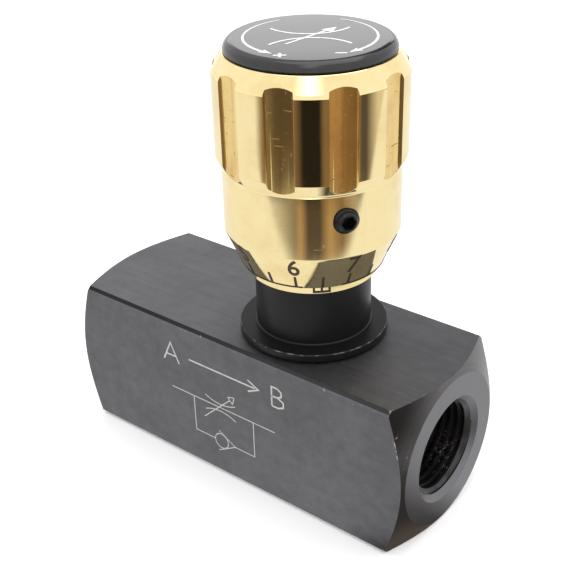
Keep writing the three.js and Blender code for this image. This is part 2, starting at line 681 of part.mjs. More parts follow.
function knobScrew() {
  const seat = KNOB_HUB_TOP + 0.9;
  const end = SPINDLE_TOP - SCREW_LENGTH_BELOW;
  const top = seat + SCREW_HEAD_HEIGHT;
  const screw = turned([
    [0, end],
    [SCREW_RADIUS - 0.45, end],
    [SCREW_RADIUS, end + 0.5],
    [SCREW_RADIUS, seat],
    [SCREW_HEAD_RADIUS, seat],
    [SCREW_HEAD_RADIUS, top - 0.4],
    [SCREW_HEAD_RADIUS - 0.4, top],
    [0, top],
  ], VALVE_X, SMALL_SIDES);
  const socket = hexPrism(SCREW_SOCKET, seat + 0.9, top + 1).translate(VALVE_X, 0, 0);
  return toGeometry(cut(screw, socket));
}

// The cap's disc covers the knob's top and its skirt snaps into the recess.
function knobCap() {
  const underside = KNOB_TOP_Z + 0.03;
  const edge = KNOB_TOP_RADIUS;
  return weld(turned([
    [0, underside],
    [CAP_SKIRT_INNER, underside],
    [CAP_SKIRT_INNER, underside - CAP_SKIRT_DEPTH],
    [CAP_RECESS_RADIUS - 0.6, underside - CAP_SKIRT_DEPTH],
    [CAP_RECESS_RADIUS - 0.15, underside - CAP_SKIRT_DEPTH + 0.7],
    [CAP_RECESS_RADIUS - 0.15, underside],
    [edge - 0.15, underside],
    [edge, underside + 0.25],
    [edge, CAP_TOP_Z - CAP_EDGE_ROUND],
    [edge - 0.3 * CAP_EDGE_ROUND, CAP_TOP_Z - 0.3 * CAP_EDGE_ROUND],
    [edge - CAP_EDGE_ROUND, CAP_TOP_Z],
    [0, CAP_TOP_Z],
  ], VALVE_X));
}

addPiece('knob_washer', knobWasher(), brightSteel);
addPiece('knob_screw', knobScrew(), brightSteel);
addPiece('knob_cap', knobCap(), blackPlastic);

// ---- lock screw and its pad ---------------------------------------------------------------

// Stands a piece modelled upright on the needle axis onto the lock screw's axis.
function alongLock(geometry) {
  return geometry
    .rotateY(Math.PI / 2)
    .rotateZ(LOCK_AZIMUTH * DEGREE)
    .translate(VALVE_X, 0, LOCK_Z);
}

function lockScrew() {
  const screw = turned([
    [0, LOCK_SCREW_INNER],
    [LOCK_SCREW_RADIUS - 0.4, LOCK_SCREW_INNER],
    [LOCK_SCREW_RADIUS, LOCK_SCREW_INNER + 0.4],
    [LOCK_SCREW_RADIUS, LOCK_SCREW_OUTER - 0.3],
    [LOCK_SCREW_RADIUS - 0.3, LOCK_SCREW_OUTER],
    [0, LOCK_SCREW_OUTER],
  ], 0, SMALL_SIDES);
  const socket = hexPrism(LOCK_SOCKET, LOCK_SCREW_OUTER - LOCK_SOCKET, LOCK_SCREW_OUTER + 1);
  return weld(alongLock(toGeometry(cut(screw, socket))));
}

function lockPad() {
  const inner = SLEEVE_RADIUS + 0.03;
  return weld(alongLock(turned(disc(LOCK_PAD_RADIUS, inner, LOCK_SCREW_INNER - CLOSE_FIT), 0, SMALL_SIDES)));
}

addPiece('lock_screw', lockScrew(), blackScrew);
addPiece('lock_pad', lockPad(), whitePlastic);

export default valve;
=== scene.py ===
"""A flow control valve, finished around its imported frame.

Every piece is modelled in millimetres about its own axis, placed, and then brought to metres.
The needle, spindle and knob stand on the valve axis; the ports and the check valve lie on the
port axis, which runs along X at the middle of the body.
"""

import json
import math
from contextlib import contextmanager
from functools import lru_cache, partial
from types import SimpleNamespace

import bpy
from bpy.props import FloatProperty, FloatVectorProperty, IntProperty, PointerProperty
from mathutils import Matrix, Vector


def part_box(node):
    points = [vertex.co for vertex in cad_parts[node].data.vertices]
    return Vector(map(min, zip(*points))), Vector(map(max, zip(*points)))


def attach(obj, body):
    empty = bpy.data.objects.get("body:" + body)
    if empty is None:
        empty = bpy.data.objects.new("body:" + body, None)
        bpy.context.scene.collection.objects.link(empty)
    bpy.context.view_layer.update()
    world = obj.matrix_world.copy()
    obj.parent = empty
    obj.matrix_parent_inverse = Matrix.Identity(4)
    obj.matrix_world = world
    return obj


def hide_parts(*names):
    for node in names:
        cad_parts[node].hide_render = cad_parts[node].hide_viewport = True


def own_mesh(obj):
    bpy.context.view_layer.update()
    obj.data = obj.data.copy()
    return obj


bl_info = {
    "name": "Flow Control Valve",
    "version": (1, 0, 0),
    "blender": (4, 5, 0),
    "location": "View3D > Sidebar > Valve",
    "description": "Builds the finished pieces of a flow control valve around its frame",
    "category": "Object",
}

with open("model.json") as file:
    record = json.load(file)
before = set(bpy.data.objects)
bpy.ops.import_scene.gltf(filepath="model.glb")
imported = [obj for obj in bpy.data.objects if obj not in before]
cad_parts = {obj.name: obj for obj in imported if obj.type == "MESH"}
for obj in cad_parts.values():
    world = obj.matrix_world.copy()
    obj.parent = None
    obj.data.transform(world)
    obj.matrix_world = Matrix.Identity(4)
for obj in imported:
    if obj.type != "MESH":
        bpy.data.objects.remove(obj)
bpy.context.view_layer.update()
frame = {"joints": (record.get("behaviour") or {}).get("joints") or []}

# ---- places taken from the frame, in millimetres ------------------------------------------

MM = 0.001


def node_box(node):
    low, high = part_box(node)
    return low / MM, high / MM


def joint(name):
    return next(entry for entry in frame["joints"] if entry["name"] == name)


BODY_LOW, BODY_HIGH = node_box("body_block")
BODY_TOP = BODY_HIGH.z
HALF_LENGTH = BODY_HIGH.x
HALF_SIDE = BODY_HIGH.y
PORT_AXIS_Z = (BODY_LOW.z + BODY_HIGH.z) / 2
VALVE_X = joint("knob_turn")["pos_m"][0] / MM
LOCK_Z = joint("lock_screw_turn")["pos_m"][2] / MM
LOCK_AXIS = Vector(joint("lock_screw_turn")["axis"])
LOCK_AZIMUTH = math.atan2(LOCK_AXIS.y, LOCK_AXIS.x)
KNOB_LOW, KNOB_HIGH = node_box("knob")
SCALE_LIP = Vector((10.7, KNOB_LOW.z + 0.75))
SCALE_BAND = Vector((10.66, KNOB_LOW.z + 2.0))
SCALE_FOOT = Vector((11.6, KNOB_LOW.z + 2.25))
SCALE_HEAD = Vector((14.25, KNOB_LOW.z + 8.3))
CAP_TOP = node_box("knob_cap")[1].z - 0.3
BONNET_LOW, BONNET_HIGH = node_box("bonnet")
NEEDLE_LOW, NEEDLE_HIGH = node_box("needle")
SPINDLE_LOW, SPINDLE_HIGH = node_box("spindle")
POPPET_LOW, POPPET_HIGH = node_box("check_poppet")
SPRING_LOW, SPRING_HIGH = node_box("check_spring")
RETAINER_LOW, RETAINER_HIGH = node_box("spring_retainer")

FRONT = math.radians(-52.7)
ROOM_FRONT = math.radians(-51.1)
SCALE_RADIUS = 12.2
SCALE_TICKS = 18
SIX_AZIMUTH = math.radians(-65.7)
DATUM_RADIUS = 10.8
DATUM_AZIMUTH = FRONT + math.radians(7)
MARK_RISE = 0.004
MARK_DEPTH = 0.03
BORE_RADIUS = 6.9
CONE_RUN = 2.05
TURN_STEPS = 192
SMALL_STEPS = 96
SMOOTH_ANGLE = math.radians(32)
WELD_DISTANCE = 1e-4
LAYER = 0.0015

X_AXIS = Matrix.Rotation(math.pi / 2, 4, "Y")
PORT_AXIS = Matrix.Translation((0, 0, PORT_AXIS_Z)) @ X_AXIS
VALVE_AXIS = Matrix.Translation((VALVE_X, 0, 0))
LOCK_PLACE = (
    Matrix.Translation((VALVE_X, 0, LOCK_Z)) @ Matrix.Rotation(LOCK_AZIMUTH, 4, "Z") @ X_AXIS
)


# ---- settings -----------------------------------------------------------------------------


def length(name, description, millimetres):
    """A length property, given in millimetres and kept in metres."""
    return FloatProperty(
        name=name, description=description, default=millimetres * MM, unit="LENGTH", precision=5
    )


def colour(name, description, default):
    return FloatVectorProperty(
        name=name, description=description, default=default, subtype="COLOR", min=0, max=1
    )


class BodySettings(bpy.types.PropertyGroup):
    edge_chamfer: length("Edge chamfer", "Width of the long edges' chamfer on each face", 0.72)
    end_radius: length("End face radius", "Outer radius of the flat ring at each port", 13.26)
    mouth_radius: length("Mouth radius", "Radius of the countersink at each port's face", 9.2)
    thread_radius: length("Thread radius", "Major radius of the port thread at its mouth", 8.5)
    thread_pitch: length("Thread pitch", "Pitch of the port threads", 1.41)
    thread_height: length("Thread height", "Height of the port thread's flanks", 0.95)
    thread_depth: length("Thread depth", "How far the port thread runs in", 13.6)
    line_width: length("Line width", "Width of the flow symbol's lines", 0.19)
    steel: colour("Steel", "Blackened steel", (0.148, 0.146, 0.156))
    wear: colour("Wear", "Bare steel where the black has worn off", (0.42, 0.39, 0.36))
    marking: colour("Marking", "Light lines of the flow symbol", (0.46, 0.445, 0.43))


class BonnetSettings(bpy.types.PropertyGroup):
    flange_radius: length("Flange radius", "Radius of the bonnet's flange", 12.44)
    sleeve_radius: length("Sleeve radius", "Radius of the sleeve under the knob", 9.6)
    black: colour("Black", "Black finish of the bonnet", (0.006, 0.0055, 0.006))


class KnobSettings(bpy.types.PropertyGroup):
    barrel_radius: length("Barrel radius", "Radius of the plain barrel", 14.2)
    grip_radius: length("Grip radius", "Radius over the fluted grip", 15.1)
    flute_width: length("Flute width", "Width of a flute at the grip's surface", 4.75)
    flute_depth: length("Flute depth", "Depth of a flute", 0.72)
    flute_bottom: length("Flute bottom", "Radius of the flute's nearly flat bottom", 15.0)
    flute_count: IntProperty(name="Flutes", description="Number of flutes", default=10, min=3)
    brass: colour("Brass", "Polished brass", (0.93, 0.78, 0.42))
    milled: colour("Milled brass", "Duller brass of the milled flutes", (0.84, 0.62, 0.25))
    scale_ink: colour("Scale", "Dark fill of the scale", (0.035, 0.022, 0.012))


class CapSettings(bpy.types.PropertyGroup):
    radius: length("Cap radius", "Radius of the cap on the knob", 13.1)
    rounding: length("Cap rounding", "Rounding of the cap's upper edge", 1.75)
    mark_radius: length("Mark radius", "Radius of the two arrows", 10.0)
    black: colour("Black", "Gloss black of the cap", (0.012, 0.012, 0.013))
    marking: colour("Marking", "White of the printed marks", (0.9, 0.9, 0.9))


class StageSettings(bpy.types.PropertyGroup):
    azimuth: FloatProperty(
        name="Azimuth", description="Direction the camera looks from", default=math.radians(38.88),
        subtype="ANGLE"
    )
    elevation: FloatProperty(
        name="Elevation", description="How far the camera looks down", default=math.radians(29.42),
        subtype="ANGLE"
    )
    roll: FloatProperty(
        name="Roll", description="Tilt of the camera", default=math.radians(-1.514), subtype="ANGLE"
    )
    place: FloatVectorProperty(
        name="Place", description="Where the camera stands", default=(0.10257, -0.12356, 0.12275),
        subtype="TRANSLATION", unit="LENGTH"
    )
    lens: FloatProperty(name="Lens", description="Focal length, in mm", default=66.79, min=1)
    sky: FloatProperty(name="Sky", description="Strength of the white surround", default=1.1, min=0)
    floor: colour("Floor", "Colour of the floor", (0.95, 0.95, 0.95))


def in_millimetres(settings):
    """The settings as plain values, with lengths in millimetres and colours as tuples."""
    values = {}
    for prop in settings.bl_rna.properties:
        value = getattr(settings, prop.identifier)
        if prop.type == "FLOAT" and prop.unit == "LENGTH" and not prop.is_array:
            value = value / MM
        values[prop.identifier] = tuple(value) if getattr(prop, "is_array", False) else value
    return SimpleNamespace(**values)


def setting(name):
    return in_millimetres(getattr(bpy.context.scene, "valve_" + name))


# ---- modelling helpers --------------------------------------------------------------------


def activate(piece):
    bpy.ops.object.select_all(action="DESELECT")
    piece.select_set(True)
    bpy.context.view_layer.objects.active = piece


@contextmanager
def editing(piece, action="SELECT"):
    """Edit mode on one piece, with all of it or none of it selected."""
    activate(piece)
    bpy.ops.object.mode_set(mode="EDIT")
    bpy.ops.mesh.select_mode(type="VERT")
    bpy.ops.mesh.select_all(action=action)
    yield
    bpy.ops.object.mode_set(mode="OBJECT")


def weld():
    """Joins the doubled corners of the mesh in edit mode and turns its faces outwards."""
    bpy.ops.mesh.select_all(action="SELECT")
    bpy.ops.mesh.remove_doubles(threshold=WELD_DISTANCE)
    bpy.ops.mesh.normals_make_consistent(inside=False)


def linked(name, data):
    """A new object around some data, in the scene."""
    thing = bpy.data.objects.new(name, data)
    bpy.context.collection.objects.link(thing)
    return thing


def new_piece(operator, **settings):
    """The piece that a bpy.ops.mesh.primitive_..._add call makes, with nothing else selected."""
    bpy.ops.object.select_all(action="DESELECT")
    operator(**settings)
    return bpy.context.active_object


def trace(points):
    """A line of edges, drawn by extruding one corner from each point to the next."""
    line = new_piece(bpy.ops.mesh.primitive_plane_add, size=1)
    with editing(line):
        bpy.ops.mesh.merge(type="CENTER")
        bpy.ops.transform.translate(value=points[0])
        for here, there in zip(points, points[1:]):
            step = Vector(there) - Vector(here)
            bpy.ops.mesh.extrude_vertices_move(TRANSFORM_OT_translate={"value": step})
    return line


def rounded(profile, segments=5):
    """A profile of (radius, height) corners; a third number rounds its corner by that radius."""
    points = []
    for index, corner in enumerate(profile):
        here = Vector(corner[:2])
        if len(corner) < 3:
            points.append(here)
            continue
        back = Vector(profile[index - 1][:2]) - here
        on = Vector(profile[index + 1][:2]) - here
        half = back.angle(on) / 2
        reach = corner[2] / math.tan(half)
        for side, beside in ((back, profile[index - 1]), (on, profile[index + 1])):
            share = 0.48 if len(beside) > 2 else 0.96
            reach = min(reach, share * side.length)
        back.normalize()
        on.normalize()
        centre = here + (back + on).normalized() * reach / math.cos(half)
        start = here + back * reach - centre
        end = here + on * reach - centre
        sweep = start.angle(end)
        for k in range(segments + 1):
            part = k / segments
            arc = start * math.sin((1 - part) * sweep) + end * math.sin(part * sweep)
            points.append(centre + arc / math.sin(sweep))
    return points


def turned(profile, steps=TURN_STEPS, place=None):
    """A solid of revolution about Z, or about the axis that place puts it on."""
    blank = trace([(radius, 0, height) for radius, height in rounded(profile)])
    with editing(blank):
        bpy.ops.mesh.spin(
            steps=steps, angle=2 * math.pi, center=(0, 0, 0), axis=(0, 0, 1), use_auto_merge=True
        )
        weld()
    return put(blank, place)


def put(piece, place):
    """Moves a piece to a place and leaves that in its mesh."""
    if place is not None:
        activate(piece)
        piece.matrix_world = place
        bpy.ops.object.transform_apply(location=True, rotation=True, scale=True)
    return piece


def lift(height):
    return Matrix.Translation((0, 0, height))


def filled_outline(points):
    """A flat face inside a line of points."""
    outline = trace(points + points[:1])
    with editing(outline):
        bpy.ops.mesh.remove_doubles(threshold=WELD_DISTANCE)
        bpy.ops.mesh.edge_face_add()
    return outline


def polar(radius, angle):
    return radius * math.cos(angle), radius * math.sin(angle)


def disc(radius, low, high):
    return [(0, low), (radius, low), (radius, high), (0, high)]


def ring(inner, outer, low, high, rounding=0.05):
    middle = (low + high) / 2
    return [
        (inner, middle), (inner, low, rounding), (outer, low, rounding),
        (outer, high, rounding), (inner, high, rounding), (inner, middle),
    ]


def modify(piece, kind, **settings):
    """Adds one modifier and applies it."""
    activate(piece)
    bpy.ops.object.modifier_add(type=kind)
    modifier = piece.modifiers[-1]
    for name, value in settings.items():
        setattr(modifier, name, value)
    bpy.ops.object.modifier_apply(modifier=modifier.name)
    return piece


def combine(piece, tool, operation):
    modify(piece, "BOOLEAN", operation=operation, solver="EXACT", object=tool)
    bpy.data.objects.remove(tool)
    return piece


def cut(piece, *tools):
    for tool in tools:
        combine(piece, tool, "DIFFERENCE")
    return piece


def joined(pieces):
    """Several meshes as one, without cutting them."""
    first = pieces[0]
    activate(first)
    for other in pieces[1:]:
        other.select_set(True)
    if len(pieces) > 1:
        bpy.ops.object.join()
    return first


def rod(radius, start, end, sides=48):
    """A cylinder from one point to another."""
    start, end = Vector(start), Vector(end)
    axis = end - start
    cylinder = new_piece(
        bpy.ops.mesh.primitive_cylinder_add, vertices=sides, radius=radius, depth=axis.length
    )
    turn = axis.to_track_quat("Z", "Y").to_matrix().to_4x4()
    return put(cylinder, Matrix.Translation((start + end) / 2) @ turn)


def screw_thread(major, height, pitch, span, taper=0.0, steps=SMALL_STEPS):
    """A threaded plug along Z from 0 to span, with its crests at the major radius.

    Its radius shrinks with height by the taper.
    """
    root = major - height
    tooth = [(root, 0), (root, 0.06), (major, 0.44), (major, 0.56), (root, 0.94), (root, 1)]
    plug = trace([(radius, 0, along * pitch) for radius, along in tooth])
    turns = math.ceil(span / pitch) + 3
    modify(
        plug, "SCREW", angle=2 * math.pi, screw_offset=pitch, iterations=turns, axis="Z",
        steps=steps, render_steps=steps, use_merge_vertices=True, merge_threshold=WELD_DISTANCE
    )
    put(plug, lift(-1.5 * pitch))
    for level, upper in ((0, False), (span, True)):
        with editing(plug):
            bpy.ops.mesh.bisect(
                plane_co=(0, 0, level), plane_no=(0, 0, 1), use_fill=True,
                clear_inner=not upper, clear_outer=upper
            )
            weld()
    for vertex in plug.data.vertices:
        shrink = 1 - taper * vertex.co.z / major
        vertex.co.x *= shrink
        vertex.co.y *= shrink
    return plug


def soften(piece, width, angle=28, segments=2):
    """Breaks the sharp edges of a piece."""
    return modify(
        piece, "BEVEL", width=width, segments=segments, limit_method="ANGLE",
        angle_limit=math.radians(angle), use_clamp_overlap=True, miter_outer="MITER_ARC"
    )


def finish(piece, name, body, materials, replaced=()):
    """Brings a piece to metres, shades it, gives it its materials and hangs it on its body."""
    piece.name = name
    piece.data.name = name
    put(piece, Matrix.Scale(MM, 4))
    activate(piece)
    bpy.ops.object.shade_smooth_by_angle(angle=SMOOTH_ANGLE)
    modify(piece, "WEIGHTED_NORMAL", keep_sharp=True)
    for material in materials:
        piece.data.materials.append(material)
    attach(piece, body)
    if replaced:
        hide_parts(*replaced)


# ---- flat marks ---------------------------------------------------------------------------


def arc_points(centre, radius, start, end, count=24):
    """Points on an arc between two angles, in degrees."""
    points = []
    for k in range(count + 1):
        x, y = polar(radius, math.radians(start + (end - start) * k / count))
        points.append((centre[0] + x, centre[1] + y))
    return points


def between(points, spacing):
    """The same line with extra points, so that none of its steps is longer than spacing."""
    dense = [Vector(points[0])]
    for here, there in zip(points, points[1:]):
        here, there = Vector(here), Vector(there)
        count = max(1, math.ceil((there - here).length / spacing))
        dense += [here.lerp(there, (k + 1) / count) for k in range(count)]
    return dense


def stroke(points, width, end_width=None):
    """The outline of a line drawn with a pen, which may change its width along the way."""
    end_width = width if end_width is None else end_width
    points = [Vector(point) for point in points]
    left, right = [], []
    for index, point in enumerate(points):
        back = points[max(index - 1, 0)]
        on = points[min(index + 1, len(points) - 1)]
        into, out = point - back, on - point
        into = out if into.length == 0 else into
        out = into if out.length == 0 else out
        along = (into.normalized() + out.normalized()).normalized()
        spread = max(along.dot(into.normalized()), 0.5)
        part = index / (len(points) - 1)
        half = (width + (end_width - width) * part) / 2 / spread
        side = Vector((-along.y, along.x)) * half
        left.append(point + side)
        right.append(point - side)
    return left, right


def flat_mark(strokes, polygons, thickness, place):
    """A thin closed inlay of strokes and filled polygons.

    place turns a flat point and a height above the surface into a point in space.
    """
    vertices, faces = [], []
    for number, (left, right) in enumerate(strokes):
        first = len(vertices)
        level = LAYER * number
        vertices += [(p.x, p.y, level) for pair in zip(left, right) for p in pair]
        for k in range(len(left) - 1):
            a = first + 2 * k
            faces.append((a, a + 1, a + 3, a + 2))
    for polygon in polygons:
        first = len(vertices)
        vertices += [(x, y, -LAYER) for x, y in polygon]
        outline = tuple(range(first, first + len(polygon)))
        area = sum(
            here[0] * there[1] - there[0] * here[1]
            for here, there in zip(polygon, polygon[1:] + polygon[:1])
        )
        faces.append(outline if area > 0 else outline[::-1])
    mesh = bpy.data.meshes.new("mark")
    mesh.from_pydata(vertices, [], faces)
    return raised(linked("mark", mesh), thickness, place)


def raised(mark, thickness, place):
    """Gives a flat mark its thickness and lays it on its surface."""
    modify(mark, "SOLIDIFY", thickness=thickness, offset=1)
    with editing(mark):
        bpy.ops.mesh.normals_make_consistent(inside=False)
    for vertex in mark.data.vertices:
        vertex.co = place(vertex.co.x, vertex.co.y, vertex.co.z)
    with editing(mark):
        bpy.ops.mesh.normals_make_consistent(inside=False)
    return mark


# ---- shader helpers -----------------------------------------------------------------------


class Wire:
    """One output of a node. Arithmetic on it adds Math nodes."""

    def __init__(self, shader, socket):
        self.shader = shader
        self.socket = socket

    def math(self, operation, *values):
        return self.shader.add("Math", {"operation": operation}, dict(enumerate(values)))

    def __add__(self, other):
        return self.math("ADD", self, other)

    def __radd__(self, other):
        return self.math("ADD", other, self)

    def __sub__(self, other):
        return self.math("SUBTRACT", self, other)

    def __rsub__(self, other):
        return self.math("SUBTRACT", other, self)

    def __mul__(self, other):
        return self.math("MULTIPLY", self, other)

    def __rmul__(self, other):
        return self.math("MULTIPLY", other, self)

    def __truediv__(self, other):
        return self.math("DIVIDE", self, other)

    def __pow__(self, other):
        return self.math("POWER", self, other)

    def __abs__(self):
        return self.math("ABSOLUTE", self)

    def step(self, low, high):
        """0 below low and 1 above high, with a smooth change between."""
        return self.shader.add(
            "MapRange", {"interpolation_type": "SMOOTHSTEP"},
            {"Value": self, "From Min": low, "From Max": high}
        )


class Shader:
    """A material and its nodes."""

    def __init__(self, name, **constants):
        self.material = bpy.data.materials.new(name)
        self.material.use_nodes = True
        self.tree = self.material.node_tree
        self.surface = self.tree.nodes["Principled BSDF"]
        for socket, value in constants.items():
            self.set(socket.replace("_", " "), value)

    def add(self, kind, settings, inputs, output=0):
        """Adds a node; settings come first, and inputs are values or wires."""
        node = self.tree.nodes.new("ShaderNode" + kind)
        for name, value in settings.items():
            setattr(node, name, value)
        for key, value in inputs.items():
            self.feed(node.inputs[key], value)
        return Wire(self, node.outputs[output])

    def feed(self, socket, value):
        if isinstance(value, Wire):
            self.tree.links.new(value.socket, socket)
        elif socket.type == "RGBA" and len(value) == 3:
            socket.default_value = (*value, 1)
        else:
            socket.default_value = value

    def set(self, socket, value):
        self.feed(self.surface.inputs[socket], value)

    def place(self):
        return self.add("TexCoord", {}, {}, "Object")

    def mapped(self, vector, scale=(1, 1, 1), location=(0, 0, 0), rotation=(0, 0, 0)):
        inputs = {"Vector": vector, "Scale": scale, "Location": location, "Rotation": rotation}
        return self.add("Mapping", {}, inputs)

    def split(self, vector):
        node = self.tree.nodes.new("ShaderNodeSeparateXYZ")
        self.feed(node.inputs[0], vector)
        return [Wire(self, output) for output in node.outputs]

    def noise(self, vector, scale, detail=2.0, roughness=0.5):
        inputs = {"Vector": vector, "Scale": scale, "Detail": detail, "Roughness": roughness}
        return self.add("TexNoise", {}, inputs)

    def grain(self, vector, scale, detail=3.0, roughness=0.5, rotation=(0, 0, 0)):
        """Noise with its own scale along each axis."""
        vector = self.mapped(vector, scale=scale, rotation=rotation)
        return self.noise(vector, 1.0, detail, roughness)

    def mix(self, factor, first, second):
        node = self.tree.nodes.new("ShaderNodeMix")
        node.data_type = "RGBA"
        node.clamp_factor = True
        colours = [socket for socket in node.inputs if socket.type == "RGBA"]
        self.feed(node.inputs["Factor"], factor)
        self.feed(colours[0], first)
        self.feed(colours[1], second)
        output = next(socket for socket in node.outputs if socket.type == "RGBA")
        return Wire(self, output)

    def bump(self, height, distance, strength=1.0):
        inputs = {"Height": height, "Distance": distance, "Strength": strength}
        self.set("Normal", self.add("Bump", {}, inputs))


def around(shader, axis_place, along):
    """Distance from an axis, from Object coordinates; along names the axis, X or Z."""
    x, y, z = shader.split(shader.mapped(shader.place(), location=[-c * MM for c in axis_place]))
    across = (y, z) if along == "X" else (x, y)
    return (across[0] ** 2 + across[1] ** 2) ** 0.5


# ---- finishes -----------------------------------------------------------------------------


def tinted(tint, *factors):
    """A colour times one factor, or times a factor for each channel."""
    factors = factors * 3 if len(factors) == 1 else factors
    return [channel * factor for channel, factor in zip(tint, factors)]


def end_edge(shader, here):
    """1 where the end cones cut the flats, at the upper front only, fading in a millimetre."""
    x, y, z = shader.split(here)
    radius = (y ** 2 + (z - PORT_AXIS_Z * MM) ** 2) ** 0.5
    from_end = HALF_LENGTH * MM - abs(x)
    inside = setting("body").end_radius * MM + CONE_RUN * from_end - radius
    upper_front = (z - 2.0 * y).step(38 * MM, 50 * MM)
    return upper_front * (1 - inside.step(0.1 * MM, 0.9 * MM))


@lru_cache
def ground_steel():
    """Blackened flats with faint grinding lines, small scuffs and chips along their edges, with
    painted shade on the chamfers and on the top and bottom flats towards port B.
    """
    steel = setting("body")
    shader = Shader("ground_blackened_steel", Metallic=0.92, IOR=1.5)
    here = shader.place()
    x, y, z = shader.split(here)
    across = abs(y)
    upward = abs(z - PORT_AXIS_Z * MM)
    upright = (across - upward).step(0, 0.4 * MM)
    flat_turn, side_turn = (0, 0, math.radians(-39)), (0, math.radians(-38), 0)
    flat_lines = shader.grain(here, (70, 1500, 1500), 5.0, 0.7, flat_turn)
    side_lines = shader.grain(here, (200, 1900, 1900), 5.0, 0.7, side_turn)
    lines = flat_lines * (1 - upright) + side_lines * upright
    cloud = shader.noise(here, 70.0, detail=3.0)
    patch = shader.noise(here, 420.0, detail=5.0, roughness=0.65)
    outward = across + upward - 2 * HALF_SIDE * MM
    chamfer = outward.step(-0.86 * MM, -0.76 * MM)
    chamfer = chamfer * (upward - across).step(-0.3 * MM, -0.12 * MM)
    rim = outward.step(-1.5 * MM, -0.9 * MM)
    chip = shader.noise(here, 700.0, detail=4.0, roughness=0.75)
    toward_b = x.step(-20 * MM, 34 * MM)
    chips = rim * (chip + 0.05 * toward_b).step(0.67, 0.73)
    corner_chips = end_edge(shader, here) * (chip + 0.08 * toward_b).step(0.64, 0.7)
    scuffs = shader.grain(here, (420, 1700, 260)).step(0.72, 0.8)
    pits = shader.noise(here, 2300.0, detail=2.0).step(0.7, 0.78)
    tone = (0.5 - 0.22 * upright) * lines + 0.3 * cloud + (0.35 + 0.15 * upright) * patch
    skin = shader.mix(tone.step(0.3, 0.85), tinted(steel.steel, 0.7), tinted(steel.steel, 1.18))
    skin = shader.mix(0.35 * scuffs + 0.3 * pits, skin, (0.26, 0.25, 0.26))
    # Painted shade: the top and bottom flats are painted darker towards port B, where their
    # reflection dims.
    skin = shader.mix(0.3 * toward_b * (1 - upright), skin, (0.03, 0.03, 0.03))
    # Painted shade: the chamfers are painted near-black, a little less so towards port B.
    skin = shader.mix(chamfer * (0.9 - 0.25 * toward_b), skin, (0.014, 0.013, 0.014))
    shader.set("Base Color", shader.mix(chips + corner_chips, skin, steel.wear))
    shader.set("Roughness", 0.33 + 0.2 * lines + 0.12 * patch)
    shader.bump(lines * 0.8 + patch * 0.3 - pits * 0.4, 0.00003, 0.5)
    return shader.material


@lru_cache
def turned_steel():
    """The end cones and ring faces, with concentric turning marks about the port axis, a painted
    dark reflection at the cones' upper front corner and a painted floor reflection low on them.
    """
    steel = setting("body")
    shader = Shader("turned_blackened_steel", Metallic=0.92, IOR=1.5)
    here = shader.place()
    radius = around(shader, (0, 0, PORT_AXIS_Z), "X")
    ring_place = shader.add("CombineXYZ", {}, {0: radius * 2600.0, 1: 0.0, 2: 0.0})
    rings = shader.noise(ring_place, 1.0, detail=4.0, roughness=0.75)
    on_cone = radius.step(13.2 * MM, 13.4 * MM)
    cloud = shader.noise(here, 160.0, detail=4.0)
    chip = shader.noise(here, 900.0, detail=4.0, roughness=0.7)
    _, y, z = shader.split(here)
    chips = end_edge(shader, here) * on_cone * chip.step(0.64, 0.7)
    # Painted shade: a dark reflection painted near-black on the cones' upper front corner.
    corner = (z - PORT_AXIS_Z * MM - y).step(15 * MM, 25 * MM)
    cone_tone = rings.step(0.35, 0.65) * 0.55 + cloud * 0.2
    cone = shader.mix(cone_tone, tinted(steel.steel, 1.05), (0.085, 0.074, 0.07))
    cone = shader.mix(0.9 * corner, cone, (0.012, 0.01, 0.01))
    # Painted reflection: the cones are painted lighter near the floor, as if mirroring it.
    low = 1 - z.step(1 * MM, 9 * MM)
    cone = shader.mix(0.6 * low, cone, (0.5, 0.44, 0.41))
    ring_tone = shader.mix(0.4 * cloud + 0.3 * rings, tinted(steel.steel, 1.3), steel.steel)
    tone = shader.mix(on_cone, ring_tone, cone)
    shader.set("Base Color", shader.mix(chips, tone, steel.wear))
    shader.set("Roughness", 0.34 - 0.1 * on_cone + 0.12 * rings)
    shader.bump(rings * (0.2 + 0.8 * on_cone), 0.00004, 0.6)
    return shader.material


@lru_cache
def oiled_bore():
    """The threads and bores, black with oil and painted darker as shade in the recess, with painted
    glints low in the mouth of port B.
    """
    shader = Shader("oiled_bore", Metallic=0.3, IOR=1.5, Coat_Roughness=0.06)
    here = shader.place()
    x, y, z = shader.split(here)
    cloud = shader.noise(here, 320.0, detail=4.0)
    # Painted glints: bright metal specks placed only low in the mouth of port B.
    glint_noise = shader.grain(here, (900, 2400, 2400), roughness=0.7)
    low_side = (0.9 * y - z + PORT_AXIS_Z * MM).step(9.4 * MM, 10.8 * MM)
    near_mouth = x.step(28.5 * MM, 31 * MM) * (1 - x.step(33.2 * MM, 33.6 * MM))
    painted_glints = low_side * near_mouth * glint_noise.step(0.58, 0.63)
    # Painted shade: the bore is painted near-black, far darker than the blackened steel outside it.
    dark = shader.mix(cloud, (0.006, 0.0055, 0.0055), (0.022, 0.02, 0.02))
    shader.set("Base Color", shader.mix(painted_glints, dark, (0.75, 0.68, 0.62)))
    shader.set("Roughness", 0.22 + 0.25 * cloud)
    shader.set("Metallic", 0.3 + 0.7 * painted_glints)
    shader.set("Coat Weight", 0.5 * cloud.step(0.45, 0.62))
    return shader.material


